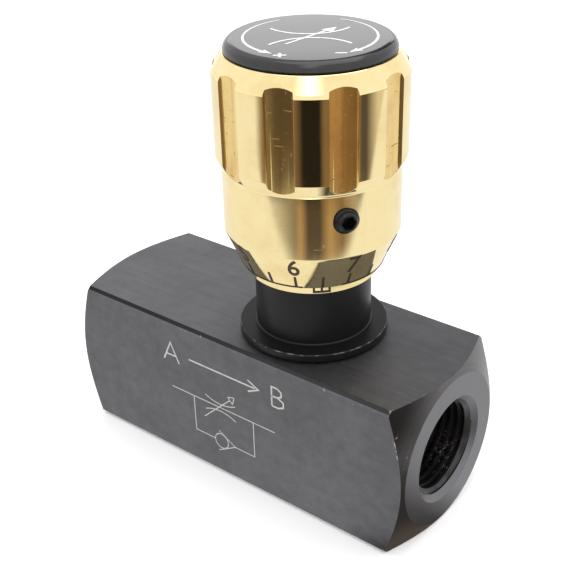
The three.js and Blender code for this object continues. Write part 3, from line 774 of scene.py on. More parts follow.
@lru_cache
def sleeve_black():
    """The bonnet's smooth black, with fine turning lines round the valve axis and a worn rim that
    is partly a painted edge highlight.
    """
    shader = Shader("sleeve_black", IOR=1.3)
    here = shader.place()
    lines = shader.grain(here, (30, 30, 5200))
    cloud = shader.noise(here, 240.0, detail=3.0)
    bonnet_settings = setting("bonnet")
    x, y, z = shader.split(shader.mapped(here, location=(-VALVE_X * MM, 0, 0)))
    inward = bonnet_settings.flange_radius * MM - (x * x + y * y) ** 0.5
    # Worn rim with a painted edge highlight: a broken lighter line along the flange's upper edge.
    rim = (1 - inward.step(0.1 * MM, 0.16 * MM)) * z.step(29.5 * MM, 29.6 * MM)
    rubbed = rim * shader.noise(here, 900.0, detail=3.0).step(0.4, 0.65)
    skin = shader.mix(cloud, bonnet_settings.black, tinted(bonnet_settings.black, 1.8))
    shader.set("Base Color", shader.mix(rubbed, skin, (0.16, 0.13, 0.12)))
    shader.set("Roughness", 0.27 + 0.12 * lines + 0.06 * cloud)
    shader.bump(lines, 0.00001, 0.35)
    return shader.material


def brass_skin(name, light, deep, gloss, wear):
    """Brass: fine hairlines, small scratches, a slightly uneven skin and some tarnish."""
    shader = Shader(name, Metallic=1.0)
    here = shader.mapped(shader.place(), location=(-VALVE_X * MM, 0, 0))
    wave = shader.noise(here, 70.0, detail=2.0)
    hair = shader.grain(here, (2100, 2100, 150), 4.0)
    scratch = shader.grain(here, (420, 420, 2600), rotation=(0.5, 0.3, 0))
    scratch = scratch.step(0.72 - 0.05 * wear, 0.78 - 0.05 * wear)
    nick = shader.grain(here, (2600, 300, 900), rotation=(0.2, 0.7, 0.4))
    nick = nick.step(0.73 - 0.07 * wear, 0.78 - 0.05 * wear)
    tarnish = shader.noise(here, 150.0, detail=5.0, roughness=0.6).step(0.4, 0.75)
    marks = scratch + nick
    rubbed = shader.grain(here, (900, 900, 60), 4.0).step(0.5, 0.72)
    worn = 0.45 * tarnish + wear * marks + 0.3 * wear * rubbed
    shader.set("Base Color", shader.mix(worn, light, deep))
    shader.set("Roughness", gloss + 0.05 * tarnish + 0.05 * hair + 0.18 * wear * marks)
    shader.bump(wave * 4.0 + hair * 0.12 - wear * marks * 0.5, 0.00002, 0.6)
    return shader.material


@lru_cache
def polished_brass():
    brass = setting("knob").brass
    return brass_skin("polished_brass", brass, tinted(brass, 0.84, 0.7, 0.52), 0.04, 0.35)


@lru_cache
def milled_brass():
    """The flutes, which the polishing didn't reach."""
    milled = setting("knob").milled
    return brass_skin("milled_brass", milled, tinted(milled, 0.62, 0.42, 0.26), 0.11, 1.0)


@lru_cache
def cap_black():
    """Gloss black with a soft skin and a few fine scratches."""
    shader = Shader("cap_black", IOR=1.5, Specular_IOR_Level=0.45)
    here = shader.place()
    skin = shader.noise(here, 520.0, detail=2.0)
    fine = shader.grain(here, (240, 2400, 240), 2.0, rotation=(0, 0, 0.6)).step(0.7, 0.76)
    tone = 0.4 * skin + 0.3 * fine
    shader.set("Base Color", shader.mix(tone, setting("cap").black, (0.06, 0.06, 0.062)))
    shader.set("Roughness", 0.09 + 0.05 * skin + 0.12 * fine)
    shader.bump(skin, 0.00001, 0.3)
    return shader.material


def printed(name, ink, roughness):
    """A thin printed or filled mark, slightly uneven."""
    shader = Shader(name, IOR=1.45)
    cloud = shader.noise(shader.place(), 1500.0, detail=4.0)
    shader.set("Base Color", shader.mix(cloud.step(0.5, 0.75), ink, tinted(ink, 0.72)))
    shader.set("Roughness", roughness + 0.2 * cloud)
    return shader.material


@lru_cache
def cap_print():
    return printed("cap_print", setting("cap").marking, 0.4)


@lru_cache
def scale_fill():
    return printed("scale_fill", setting("knob").scale_ink, 0.35)


@lru_cache
def laser_mark():
    return printed("laser_mark", setting("body").marking, 0.5)


def plain_steel(name, light, dark, roughness, along):
    """Steel turned about an axis along X or Z."""
    shader = Shader(name, Metallic=1.0)
    here = shader.place()
    stretch = (4200, 60, 60) if along == "X" else (60, 60, 4200)
    lines = shader.grain(here, stretch)
    cloud = shader.noise(here, 300.0, detail=4.0)
    shader.set("Base Color", shader.mix(0.5 * lines + 0.5 * cloud, light, dark))
    shader.set("Roughness", roughness + 0.12 * lines + 0.08 * cloud)
    shader.bump(lines, 0.00001, 0.4)
    return shader.material


@lru_cache
def bright_steel(along):
    return plain_steel("bright_steel_" + along, (0.6, 0.6, 0.61), (0.44, 0.44, 0.46), 0.2, along)


@lru_cache
def spring_steel():
    return plain_steel("spring_steel", (0.34, 0.34, 0.36), (0.2, 0.2, 0.22), 0.28, "X")


def cloudy(name, scale, detail, tones, gloss, relief=0.0, **constants):
    """A plain finish whose tone and roughness drift; gloss is its roughness and its drift."""
    shader = Shader(name, **constants)
    cloud = shader.noise(shader.place(), scale, detail)
    shader.set("Base Color", shader.mix(cloud, *tones))
    shader.set("Roughness", gloss[0] + gloss[1] * cloud)
    if relief:
        shader.bump(cloud, relief, 0.4)
    return shader.material


@lru_cache
def black_oxide():
    blacks = ((0.004, 0.004, 0.005), (0.016, 0.015, 0.017))
    return cloudy("black_oxide", 900.0, 4.0, blacks, (0.22, 0.2), 0.00002, Metallic=0.3, IOR=1.45)


@lru_cache
def seal_rubber():
    blacks = ((0.01, 0.01, 0.01), (0.03, 0.03, 0.03))
    return cloudy("seal_rubber", 1200.0, 3.0, blacks, (0.55, 0.25), IOR=1.5)


@lru_cache
def white_plastic():
    whites = ((0.82, 0.81, 0.77), (0.7, 0.69, 0.64))
    return cloudy(
        "white_plastic", 700.0, 3.0, whites, (0.42, 0.2), IOR=1.4, Subsurface_Weight=0.1
    )


# ---- line body ----------------------------------------------------------------------------


def port_cutter(body, side):
    """The smooth part of one port, with the space inside it where the thread is cut next."""
    thread_end = HALF_LENGTH - body.thread_depth
    minor = body.thread_radius - body.thread_height
    profile = [
        (0, HALF_LENGTH + 1),
        (body.mouth_radius + 0.5, HALF_LENGTH + 1),
        (body.mouth_radius + 0.08, HALF_LENGTH),
        (body.mouth_radius, HALF_LENGTH - 0.08),
        (body.thread_radius - 0.15, HALF_LENGTH - 0.9),
        (minor, HALF_LENGTH - 1.6),
        (minor - 0.4, thread_end),
        (BORE_RADIUS, thread_end - 0.7),
        (BORE_RADIUS, HALF_LENGTH - 16),
        (0, HALF_LENGTH - 16),
    ]
    return turned([(radius, side * along) for radius, along in profile], place=PORT_AXIS)


def port_thread(body, side):
    plug = screw_thread(
        body.thread_radius, body.thread_height + 0.2, body.thread_pitch, body.thread_depth,
        taper=1 / 32
    )
    start = side * (HALF_LENGTH - 0.35)
    turn = X_AXIS if side < 0 else Matrix.Rotation(-math.pi / 2, 4, "Y")
    return put(plug, Matrix.Translation((start, 0, PORT_AXIS_Z)) @ turn)


def flow_cutters():
    """The check valve's chamber, the web bore, the needle's seat and the bonnet's bore."""
    check_step = RETAINER_HIGH.x - 1.5 + 0.05
    seat = POPPET_HIGH.x - 0.9
    bore, web = BORE_RADIUS, 3.6
    snap = check_step - 1.45
    needle_seat = PORT_AXIS_Z - 0.7
    chamber_floor = BODY_TOP - 7.4
    return [
        turned([
            (0, -HALF_LENGTH + 12), (bore, -HALF_LENGTH + 12), (bore, snap - 1.1),
            (7.5, snap - 1.1), (7.5, snap), (bore, snap),
            (bore, check_step), (6.4, check_step), (6.4, seat), (web, seat, 0.1),
            (web, 15.2), (bore, 17), (bore, HALF_LENGTH - 12), (0, HALF_LENGTH - 12),
        ], place=PORT_AXIS),
        turned([
            (0, needle_seat), (2.5, needle_seat), (2.5, chamber_floor), (5, chamber_floor),
            (5, BODY_TOP - 5.6), (9, BODY_TOP - 5.6), (9, BODY_TOP - 1.9),
            (10.9, BODY_TOP), (10.9, BODY_TOP + 1), (0, BODY_TOP + 1),
        ], place=VALVE_AXIS),
        rod(1.4, (seat - 2, 0, PORT_AXIS_Z + 5), (VALVE_X - 2.4, 0, chamber_floor + 1.1)),
    ]


def line_body(body):
    side = 2 * HALF_SIDE
    bar = new_piece(bpy.ops.mesh.primitive_cube_add, size=1)
    stretch = Matrix.Diagonal((2 * HALF_LENGTH + 2, side - 0.04, side, 1))
    put(bar, Matrix.Translation((0, 0, PORT_AXIS_Z)) @ stretch)
    with editing(bar, "DESELECT"):
        bpy.ops.mesh.select_mode(type="EDGE")
        bpy.ops.object.mode_set(mode="OBJECT")
        for edge in bar.data.edges:
            start, end = (bar.data.vertices[v].co for v in edge.vertices)
            edge.select = abs(start.x - end.x) > HALF_LENGTH
        bpy.ops.object.mode_set(mode="EDIT")
        bpy.ops.mesh.bevel(offset=body.edge_chamfer, segments=1)
    cone_radius = 20.5
    cone_start = HALF_LENGTH - (cone_radius - body.end_radius) / CONE_RUN
    blank = turned([
        (0, -HALF_LENGTH), (body.end_radius, -HALF_LENGTH), (cone_radius, -cone_start),
        (cone_radius, cone_start), (body.end_radius, HALF_LENGTH), (0, HALF_LENGTH),
    ], steps=256, place=PORT_AXIS)
    combine(bar, blank, "INTERSECT")
    soften(bar, 0.1, angle=24)
    cut(bar, *[port_cutter(body, side) for side in (-1, 1)], *flow_cutters())
    cut(bar, *[port_thread(body, side) for side in (-1, 1)])
    finish(
        bar, "line_body", "valve_body",
        [ground_steel(), turned_steel(), oiled_bore()], ["body_block"]
    )
    for face in bar.data.polygons:
        centre = face.center / MM
        radius = math.hypot(centre.y, centre.z - PORT_AXIS_Z)
        near_end = abs(centre.x) > HALF_LENGTH - 4
        if radius < body.mouth_radius - 0.7 and near_end or radius < 10 and abs(centre.x) < 33:
            face.material_index = 2
        elif abs(face.normal.x) > 0.35 and near_end:
            face.material_index = 1


# ---- flow symbol on the front face --------------------------------------------------------


def on_front(x, z, height):
    """Lays a mark on the front face, sunk so that it ends flush with the frame."""
    return Vector((x, -HALF_SIDE + 0.03 - height, z))


def flow_symbol(body):
    lines = [
        [(-12.8, 14.5), (10.6, 14.5)],
        [(-7.6, 14.5), (-7.6, 7.25), (-3.15, 7.25)],
        [(1.5, 7.25), (5.9, 7.25), (5.9, 14.5)],
        [(-2.4, 4.95), (1.5, 7.25), (-2.1, 9.35)],
        arc_points((-1.6, 7.25), 1.5, 0, 360, 40),
        arc_points((-1.5, 22.6), 7.4, -117, -62, 20),
        arc_points((-1.5, 6.35), 7.4, 117, 62, 20),
        [(-5.3, 11.1), (0.75, 16.85)],
        [(1.9, 17.9), (0.4, 17.45), (1.4, 16.35), (1.9, 17.9)],
    ]
    marks = [stroke(line, body.line_width) for line in lines]
    mark = flat_mark(marks + port_letters(), [], 0.025, on_front)
    finish(mark, "flow_symbol", "valve_body", [laser_mark()])


def port_letters():
    """A and B at the two ends of a flow arrow, above the symbol."""
    low, high, pen = 19.9, 23.7, 0.32
    middle = (low + high) / 2
    lines = [
        [(-14.2, low), (-12.4, high), (-10.6, low)],
        [(-13.45, low + 1.3), (-11.35, low + 1.3)],
        [(10.2, low), (10.2, high), (11.4, high), (12.2, high - 0.5), (12.2, middle + 0.55),
         (11.4, middle + 0.1), (10.2, middle + 0.1)],
        [(11.4, middle + 0.1), (12.6, middle - 0.45), (12.6, low + 0.5), (11.6, low), (10.2, low)],
        [(-8.2, middle), (6.6, middle)],
        [(5.1, middle + 1.15), (7.4, middle), (5.1, middle - 1.15)],
    ]
    return [stroke(line, pen) for line in lines]


# ---- bonnet -------------------------------------------------------------------------------


def bonnet(settings):
    sleeve, flange = settings.sleeve_radius, settings.flange_radius
    top = BONNET_HIGH.z
    seat = BODY_TOP + 0.03
    groove, groove_width, groove_floor = 44.9, 1.6, 8.6
    stop, stop_width, bore, stem = 51.6, 1.1, 6, 4.1
    profile = [
        (stem, 28), (stem, BONNET_LOW.z, 0.2), (8.3, BONNET_LOW.z), (8.9, BONNET_LOW.z + 0.6),
        (8.9, seat), (11.6, seat), (11.6, seat + 0.33), (flange, seat + 0.33, 0.12),
        (flange, seat + 1.67, 0.22), (sleeve + 0.2, seat + 1.67), (sleeve + 0.2, seat + 1.9, 0.08),
        (sleeve, seat + 2.05), (sleeve, groove, 0.05), (groove_floor, groove),
        (groove_floor, groove + groove_width), (sleeve, groove + groove_width, 0.05),
        (sleeve, top - 0.5, 0.1), (sleeve - 0.5, top), (6.5, top), (bore, top - 0.5),
        (bore, stop + stop_width), (6.8, stop + stop_width), (6.8, stop), (bore, stop),
        (bore, 34), (stem, 34, 0.2), (stem, 28),
    ]
    piece = turned(profile, place=VALVE_AXIS)
    finish(piece, "bonnet_sleeve", "valve_body", [sleeve_black()], ["bonnet"])


def o_ring(node, body, inner, outer, low, high):
    """A squeezed O-ring: a torus flattened to fill its groove."""
    seal = new_piece(
        bpy.ops.mesh.primitive_torus_add, major_segments=SMALL_STEPS, minor_segments=24,
        major_radius=(inner + outer) / 2, minor_radius=(outer - inner) / 2
    )
    flatten = Matrix.Diagonal((1, 1, (high - low) / (outer - inner), 1))
    put(seal, VALVE_AXIS @ lift((low + high) / 2) @ flatten)
    finish(seal, node + "_seal", body, [seal_rubber()], [node])


def ring_room(node):
    """The heights and the outer radius that a ring's node fills."""
    low, high = node_box(node)
    return low.z, high.z, (high.x - low.x) / 2


def seals():
    for node, body, thickness in (
        ("bonnet_o_ring", "valve_body", 0.9),
        ("dust_o_ring", "valve_body", 1.1),
        ("needle_o_ring", "needle", 1.25),
    ):
        low, high, outer = ring_room(node)
        o_ring(node, body, outer - thickness, outer, low, high)
    low, high, outer = ring_room("needle_backup_ring")
    backup = turned(ring(2.8, outer, low, high), steps=SMALL_STEPS, place=VALVE_AXIS)
    finish(
        backup, "backup_ring", "needle", [white_plastic()], ["needle_backup_ring"]
    )


# ---- needle, spindle and split rings ------------------------------------------------------


def needle():
    foot, top = NEEDLE_LOW.z, NEEDLE_HIGH.z
    body, groove, stem, head, shoulder = 3.9, foot + 7.8, 2, 3.3, foot + 13.8
    piece = turned([
        (0, foot), (0.9, foot, 0.2), (2.0, foot + 2.5), (3.6, foot + 4.1), (body, foot + 4.4, 0.1),
        (body, groove, 0.08), (2.75, groove), (2.75, groove + 3), (body, groove + 3, 0.08),
        (body, shoulder - 0.3), (3.6, shoulder, 0.05), (stem, shoulder, 0.2),
        (stem, top - 2.1, 0.1), (head, top - 2.1, 0.08), (head, top - 0.5, 0.2),
        (2.8, top - 0.1), (0, top),
    ], steps=SMALL_STEPS, place=VALVE_AXIS)
    finish(piece, "metering_needle", "needle", [bright_steel("Z")], ["needle"])


def spindle():
    foot, top = SPINDLE_LOW.z, SPINDLE_HIGH.z
    thread_length, shaft, room = 12.8, 4.3, 3.6
    shoulder = foot + thread_length
    clip = foot + 0.8
    outer = turned([
        (0, shoulder - 1), (5, shoulder - 1), (5, shoulder), (shaft, shoulder, 0.1),
        (shaft, top, 0.25), (0, top),
    ], steps=SMALL_STEPS)
    thread = screw_thread(5.9, 0.55, 1.0, thread_length)
    combine(outer, put(thread, lift(foot)), "UNION")
    cavity = turned([
        (0, foot - 1), (room, foot - 1), (room, clip), (4.3, clip), (4.3, clip + 1),
        (room, clip + 1), (room, clip + 3.4), (0, clip + 4.4),
    ], steps=SMALL_STEPS)
    hole = turned([
        (0, top - 11.5), (2.05, top - 10), (2.05, top + 1), (0, top + 1),
    ], steps=SMALL_STEPS)
    flat = new_piece(bpy.ops.mesh.primitive_cube_add, size=1)
    put(flat, Matrix.Translation((0, 5.4, top - 1.6)) @ Matrix.Diagonal((10, 4, 10, 1)))
    cut(outer, cavity, hole, flat)
    put(outer, VALVE_AXIS)
    finish(outer, "threaded_spindle", "knob", [bright_steel("Z")], ["spindle"])


def split_ring(inner, outer, thickness, gap, place):
    """A split retaining ring: a strip swept round to its gap, with an eye at each end."""
    section = [(inner, 0, 0), (outer, 0, 0), (outer, 0, thickness), (inner, 0, thickness)]
    start = math.radians(gap / 2)
    strip = put(filled_outline(section), Matrix.Rotation(start, 4, "Z"))
    with editing(strip):
        bpy.ops.mesh.spin(
            steps=80, angle=2 * math.pi - 2 * start, center=(0, 0, 0), axis=(0, 0, 1)
        )
        weld()
    width = outer - inner
    eye, eye_hole = 0.85 * width, 0.38 * width
    for side in (-1, 1):
        x, y = polar(inner + 0.25 * width, side * (start + 1.0 / outer))
        combine(strip, rod(eye, (x, y, 0), (x, y, thickness)), "UNION")
        cut(strip, rod(eye_hole, (x, y, -1), (x, y, thickness + 1)))
    soften(strip, 0.06, angle=40)
    return put(strip, place)


def split_rings():
    for node, body, inner, gap in (
        ("spindle_stop_ring", "valve_body", 4.95, 50),
        ("needle_clip", "knob", 2.7, 60),
    ):
        low, high = node_box(node)
        outer = (high.y - low.y) / 2
        place = VALVE_AXIS @ lift(low.z)
        piece = split_ring(inner, outer, high.z - low.z, gap, place)
        finish(piece, node + "_split", body, [spring_steel()], [node])


# ---- knob ---------------------------------------------------------------------------------


def flute_cutters(knob):
    """Upright milling cutters with a shallow hollow bottom and leaning sides."""
    half = knob.flute_width / 2
    foot, head = KNOB_LOW.z + 18.6, KNOB_HIGH.z + 1
    cutters = []
    for k in range(knob.flute_count):
        section = []
        bottom = knob.grip_radius - knob.flute_depth
        reach = math.asin((half - 0.3) / knob.flute_bottom)
        for j in range(-8, 9):
            turn = reach * j / 8
            dip = knob.flute_bottom * (1 - math.cos(turn))
            section.append((bottom + dip, knob.flute_bottom * math.sin(turn)))
        section += [(knob.grip_radius + 0.1, half), (knob.grip_radius + 3, half + 1)]
        section += [(knob.grip_radius + 3, -half - 1), (knob.grip_radius + 0.1, -half)]
        outline = filled_outline([(x, y, foot) for x, y in section])
        with editing(outline):
            bpy.ops.mesh.extrude_region_move(TRANSFORM_OT_translate={"value": (0, 0, head - foot)})
            weld()
        angle = FRONT + math.radians(18 + 360 * k / knob.flute_count)
        cutters.append(put(outline, Matrix.Rotation(angle, 4, "Z")))
    return joined(cutters)


def knob_shell(knob):
    lip, top = KNOB_LOW.z, KNOB_HIGH.z
    barrel, grip = knob.barrel_radius, knob.grip_radius
    pocket, pocket_top, hub_top = 9.8, lip + 23.7, lip + 31.2
    recess, step = 10.2, lip + 18.5
    profile = [
        (0, pocket_top), (pocket, pocket_top, 0.3), (pocket, SCALE_LIP.y), SCALE_LIP,
        (*SCALE_BAND, 0.05), (*SCALE_FOOT, 0.04), (*SCALE_HEAD, 1.0), (barrel + 0.02, lip + 11),
        (barrel, step), (barrel - 0.06, step + 0.08), (barrel - 0.02, step + 0.2),
        (barrel, step + 0.45), (barrel + 0.15, step + 0.55, 0.05), (grip, step + 2.25, 0.1),
        (grip, lip + 34.1, 1.4), (13.35, top, 0.35), (recess, top), (recess, hub_top),
        (0, hub_top),
    ]
    shell = turned(profile, steps=240)
    bore = turned(disc(4.4, pocket_top - 1, hub_top + 1), steps=SMALL_STEPS)
    cut(shell, bore, flute_cutters(knob))
    put(shell, VALVE_AXIS)
    cut(shell, turned(disc(2.08, 9, 16), steps=64, place=LOCK_PLACE))
    soften(shell, 0.1, angle=26)
    finish(
        shell, "knob_shell", "knob", [polished_brass(), milled_brass()], ["knob"]
    )
    low, high = KNOB_LOW.z + 19.3, KNOB_HIGH.z - 0.8
    for face in shell.data.polygons:
        centre = face.center / MM
        radius = math.hypot(centre.x - VALVE_X, centre.y)
        if low < centre.z < high and 13.9 < radius < grip - 0.15 and abs(face.normal.z) < 0.3:
            face.material_index = 1


def cone_point(foot, head, radius, along, slant, height):
    """Lays a mark on a cone: distance round it at a radius, and distance up it from its foot."""
    up = (head - foot).normalized()
    out = Vector((up.y, -up.x))
    place = foot + up * slant + out * (height + MARK_RISE)
    return Vector((*polar(place.x, along / radius), place.y))


on_scale = partial(cone_point, SCALE_FOOT, SCALE_HEAD, SCALE_RADIUS)
on_lip = partial(cone_point, SCALE_LIP, SCALE_BAND, DATUM_RADIUS)


def digit(value, azimuth):
    bpy.ops.object.select_all(action="DESELECT")
    bpy.ops.object.text_add()
    text = bpy.context.active_object
    text.data.body = str(value)
    text.data.align_x = "CENTER"
    text.data.size = 4.7
    text.data.resolution_u = 6
    text.data.offset = 0.06
    bpy.ops.object.convert(target="MESH")
    mark = bpy.context.active_object
    with editing(mark):
        bpy.ops.mesh.remove_doubles(threshold=WELD_DISTANCE)
    for k in range(-6, 7):
        with editing(mark):
            bpy.ops.mesh.bisect(plane_co=(0.25 * k, 0, 0), plane_no=(1, 0, 0))
    middle, base_line, narrow, tall = azimuth * SCALE_RADIUS, 3.1, 0.8, 1.06
    return raised(
        mark, MARK_DEPTH, lambda x, y, w: on_scale(middle + narrow * x, base_line + tall * y, w)
    )


def scale_marks():
    """Numbers 0 to 8 with ticks on the cone, a base line, and the datum frame at its foot."""
    tick_foot, tick_head, base_line = 0.1, 2.6, 0.16
    pieces, strokes = [], []
    for k in range(SCALE_TICKS):
        azimuth = SIX_AZIMUTH + k * 2 * math.pi / SCALE_TICKS
        along = azimuth * SCALE_RADIUS
        tick = between([(along, tick_foot), (along, tick_head)], 0.5)
        strokes.append(stroke(tick, 0.5, 0.38))
        if k % 2 == 0:
            pieces.append(digit((6 + k // 2) % (SCALE_TICKS // 2), azimuth))
    gap = math.radians(15)
    sweep = [DATUM_AZIMUTH + gap + (2 * math.pi - 2 * gap) * k / 180 for k in range(181)]
    strokes.append(stroke([(angle * SCALE_RADIUS, base_line) for angle in sweep], 0.26))
    pieces.append(flat_mark(strokes, [], MARK_DEPTH, on_scale))
    pieces.append(datum_frame())
    piece = put(joined(pieces), VALVE_AXIS)
    finish(piece, "scale_marks", "knob", [scale_fill()])


def datum_frame():
    """A small frame with a middle line, on the band under the scale."""
    half, foot, head = 1.25, 0.3, 1.1
    middle = DATUM_AZIMUTH * DATUM_RADIUS
    lines = [
        [(-half, head), (-half, foot), (half, foot), (half, head)],
        [(0, head), (0, foot)],
    ]
    strokes = [stroke(between(line, 0.3), 0.38) for line in lines]
    return flat_mark(strokes, [], MARK_DEPTH, lambda x, y, w: on_lip(middle + x, y, w))


# ---- knob fixing and cap ------------------------------------------------------------------


def hexagon(across_flats, low, high):
    """A hexagonal broach, upright."""
    broach = new_piece(
        bpy.ops.mesh.primitive_cylinder_add, vertices=6, radius=across_flats / math.sqrt(3),
        depth=high - low
    )
    return put(broach, lift((low + high) / 2))


def knob_fixing():
    low, high = node_box("knob_washer")
    washer = turned(ring(2.2, 6.5, low.z, high.z, 0.1), steps=SMALL_STEPS, place=VALVE_AXIS)
    finish(washer, "spindle_washer", "knob", [bright_steel("Z")], ["knob_washer"])
    low, high = node_box("knob_screw")
    head = high.z - 2.3
    screw = turned([
        (0, head - 0.4), (1.6, head - 0.4), (1.6, head), (3.5, head, 0.1), (3.5, head + 1.9, 0.1),
        (3.1, high.z, 0.1), (0, high.z),
    ], steps=SMALL_STEPS)
    thread = screw_thread(1.95, 0.38, 0.7, head - 0.2 - low.z, steps=48)
    combine(screw, put(thread, lift(low.z)), "UNION")
    cut(screw, hexagon(2.5, head + 0.9, high.z + 1))
    put(screw, VALVE_AXIS)
    finish(screw, "spindle_screw", "knob", [bright_steel("Z")], ["knob_screw"])


def cap_disc(cap):
    top, under = CAP_TOP, KNOB_HIGH.z + 0.03
    edge, snap_inner, snap_outer, snap_foot = cap.radius, 8.7, 10.05, under - 3.6
    profile = [
        (0, under), (snap_inner, under), (snap_inner, snap_foot, 0.1), (9.6, snap_foot),
        (snap_outer, under - 2.9), (snap_outer, under), (edge - 0.2, under), (edge, under + 0.2),
        (edge, top, cap.rounding), (6, top), (0, top),
    ]
    piece = turned(profile, place=VALVE_AXIS)
    finish(piece, "cap_disc", "knob", [cap_black()], ["knob_cap"])


def cap_marks(cap):
    """Two arrows round the cap, plus and minus, and a throttle symbol in the middle."""
    pen = 0.4
    strokes, polygons = [], []
    for side in (-1, 1):
        sweep = arc_points((0, 0), cap.mark_radius, -90 + side * 152, -90 + side * 43, 60)
        strokes.append(stroke(sweep, 0.18, 0.5))
        tip, back = -90 + side * 33, -90 + side * 45
        arrow = ((0, tip), (0.75, back), (-0.05, back - side * 2), (-0.75, back))
        polygons.append([polar(cap.mark_radius + out, math.radians(at)) for out, at in arrow])
    plus = Vector(polar(cap.mark_radius + 0.2, math.radians(-115)))
    minus = Vector(polar(cap.mark_radius - 0.3, math.radians(-63.5)))
    across, upward, dash = Vector((0.95, 0)), Vector((0, 0.95)), Vector((0.85, 0))
    lines = [
        [plus - across, plus + across],
        [plus - upward, plus + upward],
        [minus - dash, minus + dash],
        arc_points((0, 8.2), 7.2, -146, -34, 32),
        arc_points((0, -8.2), 7.2, 146, 34, 32),
        [(-3.6, -4.0), (2.5, 2.7)],
    ]
    strokes += [stroke(line, pen) for line in lines]
    polygons.append([(4.0, 4.35), (1.6, 3.2), (3.3, 1.75)])
    turn = Matrix.Rotation(FRONT + math.pi / 2, 4, "Z")

    def on_cap(x, y, height):
        return turn @ Vector((x, y, CAP_TOP - 0.005 + height))

    mark = put(flat_mark(strokes, polygons, 0.035, on_cap), VALVE_AXIS)
    finish(mark, "cap_marks", "knob", [cap_print()])


# ---- lock screw ---------------------------------------------------------------------------


def lock_screw():
    inner, outer, root, end = 11.2, 15.2, 1.62, 1.3
    core = turned([
        (0, inner), (end, inner), (root, inner + 0.3), (root, outer - 0.35), (end, outer, 0.08),
        (0, outer),
    ], steps=SMALL_STEPS)
    thread = screw_thread(1.95, 0.4, 0.7, outer - inner - 0.75, steps=72)
    combine(core, put(thread, lift(inner + 0.35)), "UNION")
    cut(core, hexagon(2.0, outer - 2, outer + 1))
    put(core, LOCK_PLACE)
    finish(core, "lock_screw_m4", "lock_screw", [black_oxide()], ["lock_screw"])
    pad_radius, pad_foot, pad_head = 1.7, 9.64, 11.14
    pad = turned([
        (0, pad_foot), (pad_radius, pad_foot, 0.15), (pad_radius, pad_head, 0.15), (0, pad_head),
    ], steps=SMALL_STEPS, place=LOCK_PLACE)
    finish(pad, "nylon_pad", "lock_pad", [white_plastic()], ["lock_pad"])


# ---- check valve --------------------------------------------------------------------------


def check_poppet():
    nose, tail = POPPET_HIGH.x, POPPET_LOW.x
    seat = nose - 0.9
    neck, skirt, spring_room, bore, ledge = 5, 6.25, 4.8, 3.2, -7.5
    cup = turned([
        (0, nose), (2.6, nose, 0.3), (neck, seat - 1.5, 0.1), (neck, -6.4), (5.85, -7, 0.1),
        (skirt, -7.4, 0.1), (skirt, tail, 0.2), (spring_room, tail, 0.1), (spring_room, ledge),
        (bore, ledge, 0.1), (bore, -4.6), (0, -3.9),
    ], steps=128, place=PORT_AXIS)
    holes = Vector((-5.55, 0, PORT_AXIS_Z))
    for k in range(4):
        out = Vector((0, *polar(8, math.radians(45 + 90 * k))))
        cut(cup, rod(1.2, holes, holes + out))
    soften(cup, 0.05, angle=40)
    finish(cup, "poppet_cup", "check_poppet", [bright_steel("X")], ["check_poppet"])


def check_spring():
    """A closed-end compression spring, swept as a round wire along its helix."""
    wire_radius = 0.4
    start, end = SPRING_HIGH.x - wire_radius, SPRING_LOW.x + wire_radius
    turns, closed_pitch, mean = 7.5, 0.88, 3.9
    open_pitch = (start - end - 2 * closed_pitch) / (turns - 2)
    curve = bpy.data.curves.new("wire", "CURVE")
    curve.dimensions = "3D"
    curve.bevel_depth = wire_radius
    curve.bevel_resolution = 5
    curve.use_fill_caps = True
    spline = curve.splines.new("POLY")
    count = int(turns * 40)
    spline.points.add(count)
    for k, point in enumerate(spline.points):
        turn = turns * k / count
        opened = min(max(turn - 1, 0), turns - 2)
        closed = min(turn, 1) + max(turn - (turns - 1), 0)
        x = start - closed_pitch * closed - open_pitch * opened
        y, z = polar(mean, 2 * math.pi * turn)
        point.co = (x, y, PORT_AXIS_Z + z, 1)
    activate(linked("wire", curve))
    bpy.ops.object.convert(target="MESH")
    wire = bpy.context.active_object
    with editing(wire):
        weld()
    finish(wire, "spring_wire", "valve_body", [spring_steel()], ["check_spring"])
    fitted = SPRING_HIGH.x - SPRING_LOW.x
    travel = joint("check_open")["range_m"][1] / MM
    (fitted - travel) / fitted
    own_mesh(wire)


def retainer():
    back, front = RETAINER_LOW.x, RETAINER_HIGH.x
    bore, pilot, rim, ledge = 1.7, 3.2, 6.8, front - 1.5
    plate = turned([
        (bore, back + 0.7), (bore, back, 0.15), (rim, back, 0.15), (rim, ledge, 0.15),
        (pilot, ledge), (pilot, front, 0.2), (bore, front, 0.15), (bore, back + 0.7),
    ], steps=SMALL_STEPS, place=PORT_AXIS)
    for k in range(6):
        y, z = polar(5, math.radians(60 * k))
        z += PORT_AXIS_Z
        cut(plate, rod(1.1, (back - 1, y, z), (front + 1, y, z)))
    soften(plate, 0.08, angle=40)
    finish(
        plate, "perforated_retainer", "valve_body", [bright_steel("X")],
        ["spring_retainer"]
    )
    low, high = node_box("retainer_snap_ring")
    place = Matrix.Translation((low.x, 0, PORT_AXIS_Z)) @ X_AXIS
    snap = split_ring(5.9, 7.4, high.x - low.x, 50, place)
    finish(
        snap, "port_snap_ring", "valve_body", [spring_steel()],
        ["retainer_snap_ring"]
    )


# ---- stage --------------------------------------------------------------------------------


def glowing(name):
    """A shader for a sheet that only glows."""
    shader = Shader(name, Roughness=1.0, Specular_IOR_Level=0.0, Emission_Strength=1.0)
    shader.set("Base Color", (0.0, 0.0, 0.0))
    return shader


def unseen(sheet, shader):
    """Lets a stage piece show in reflections only."""
    sheet.name = shader.material.name
    sheet.data.materials.append(shader.material)
    for ray in ("camera", "diffuse", "shadow", "transmission"):
        setattr(sheet, "visible_" + ray, False)


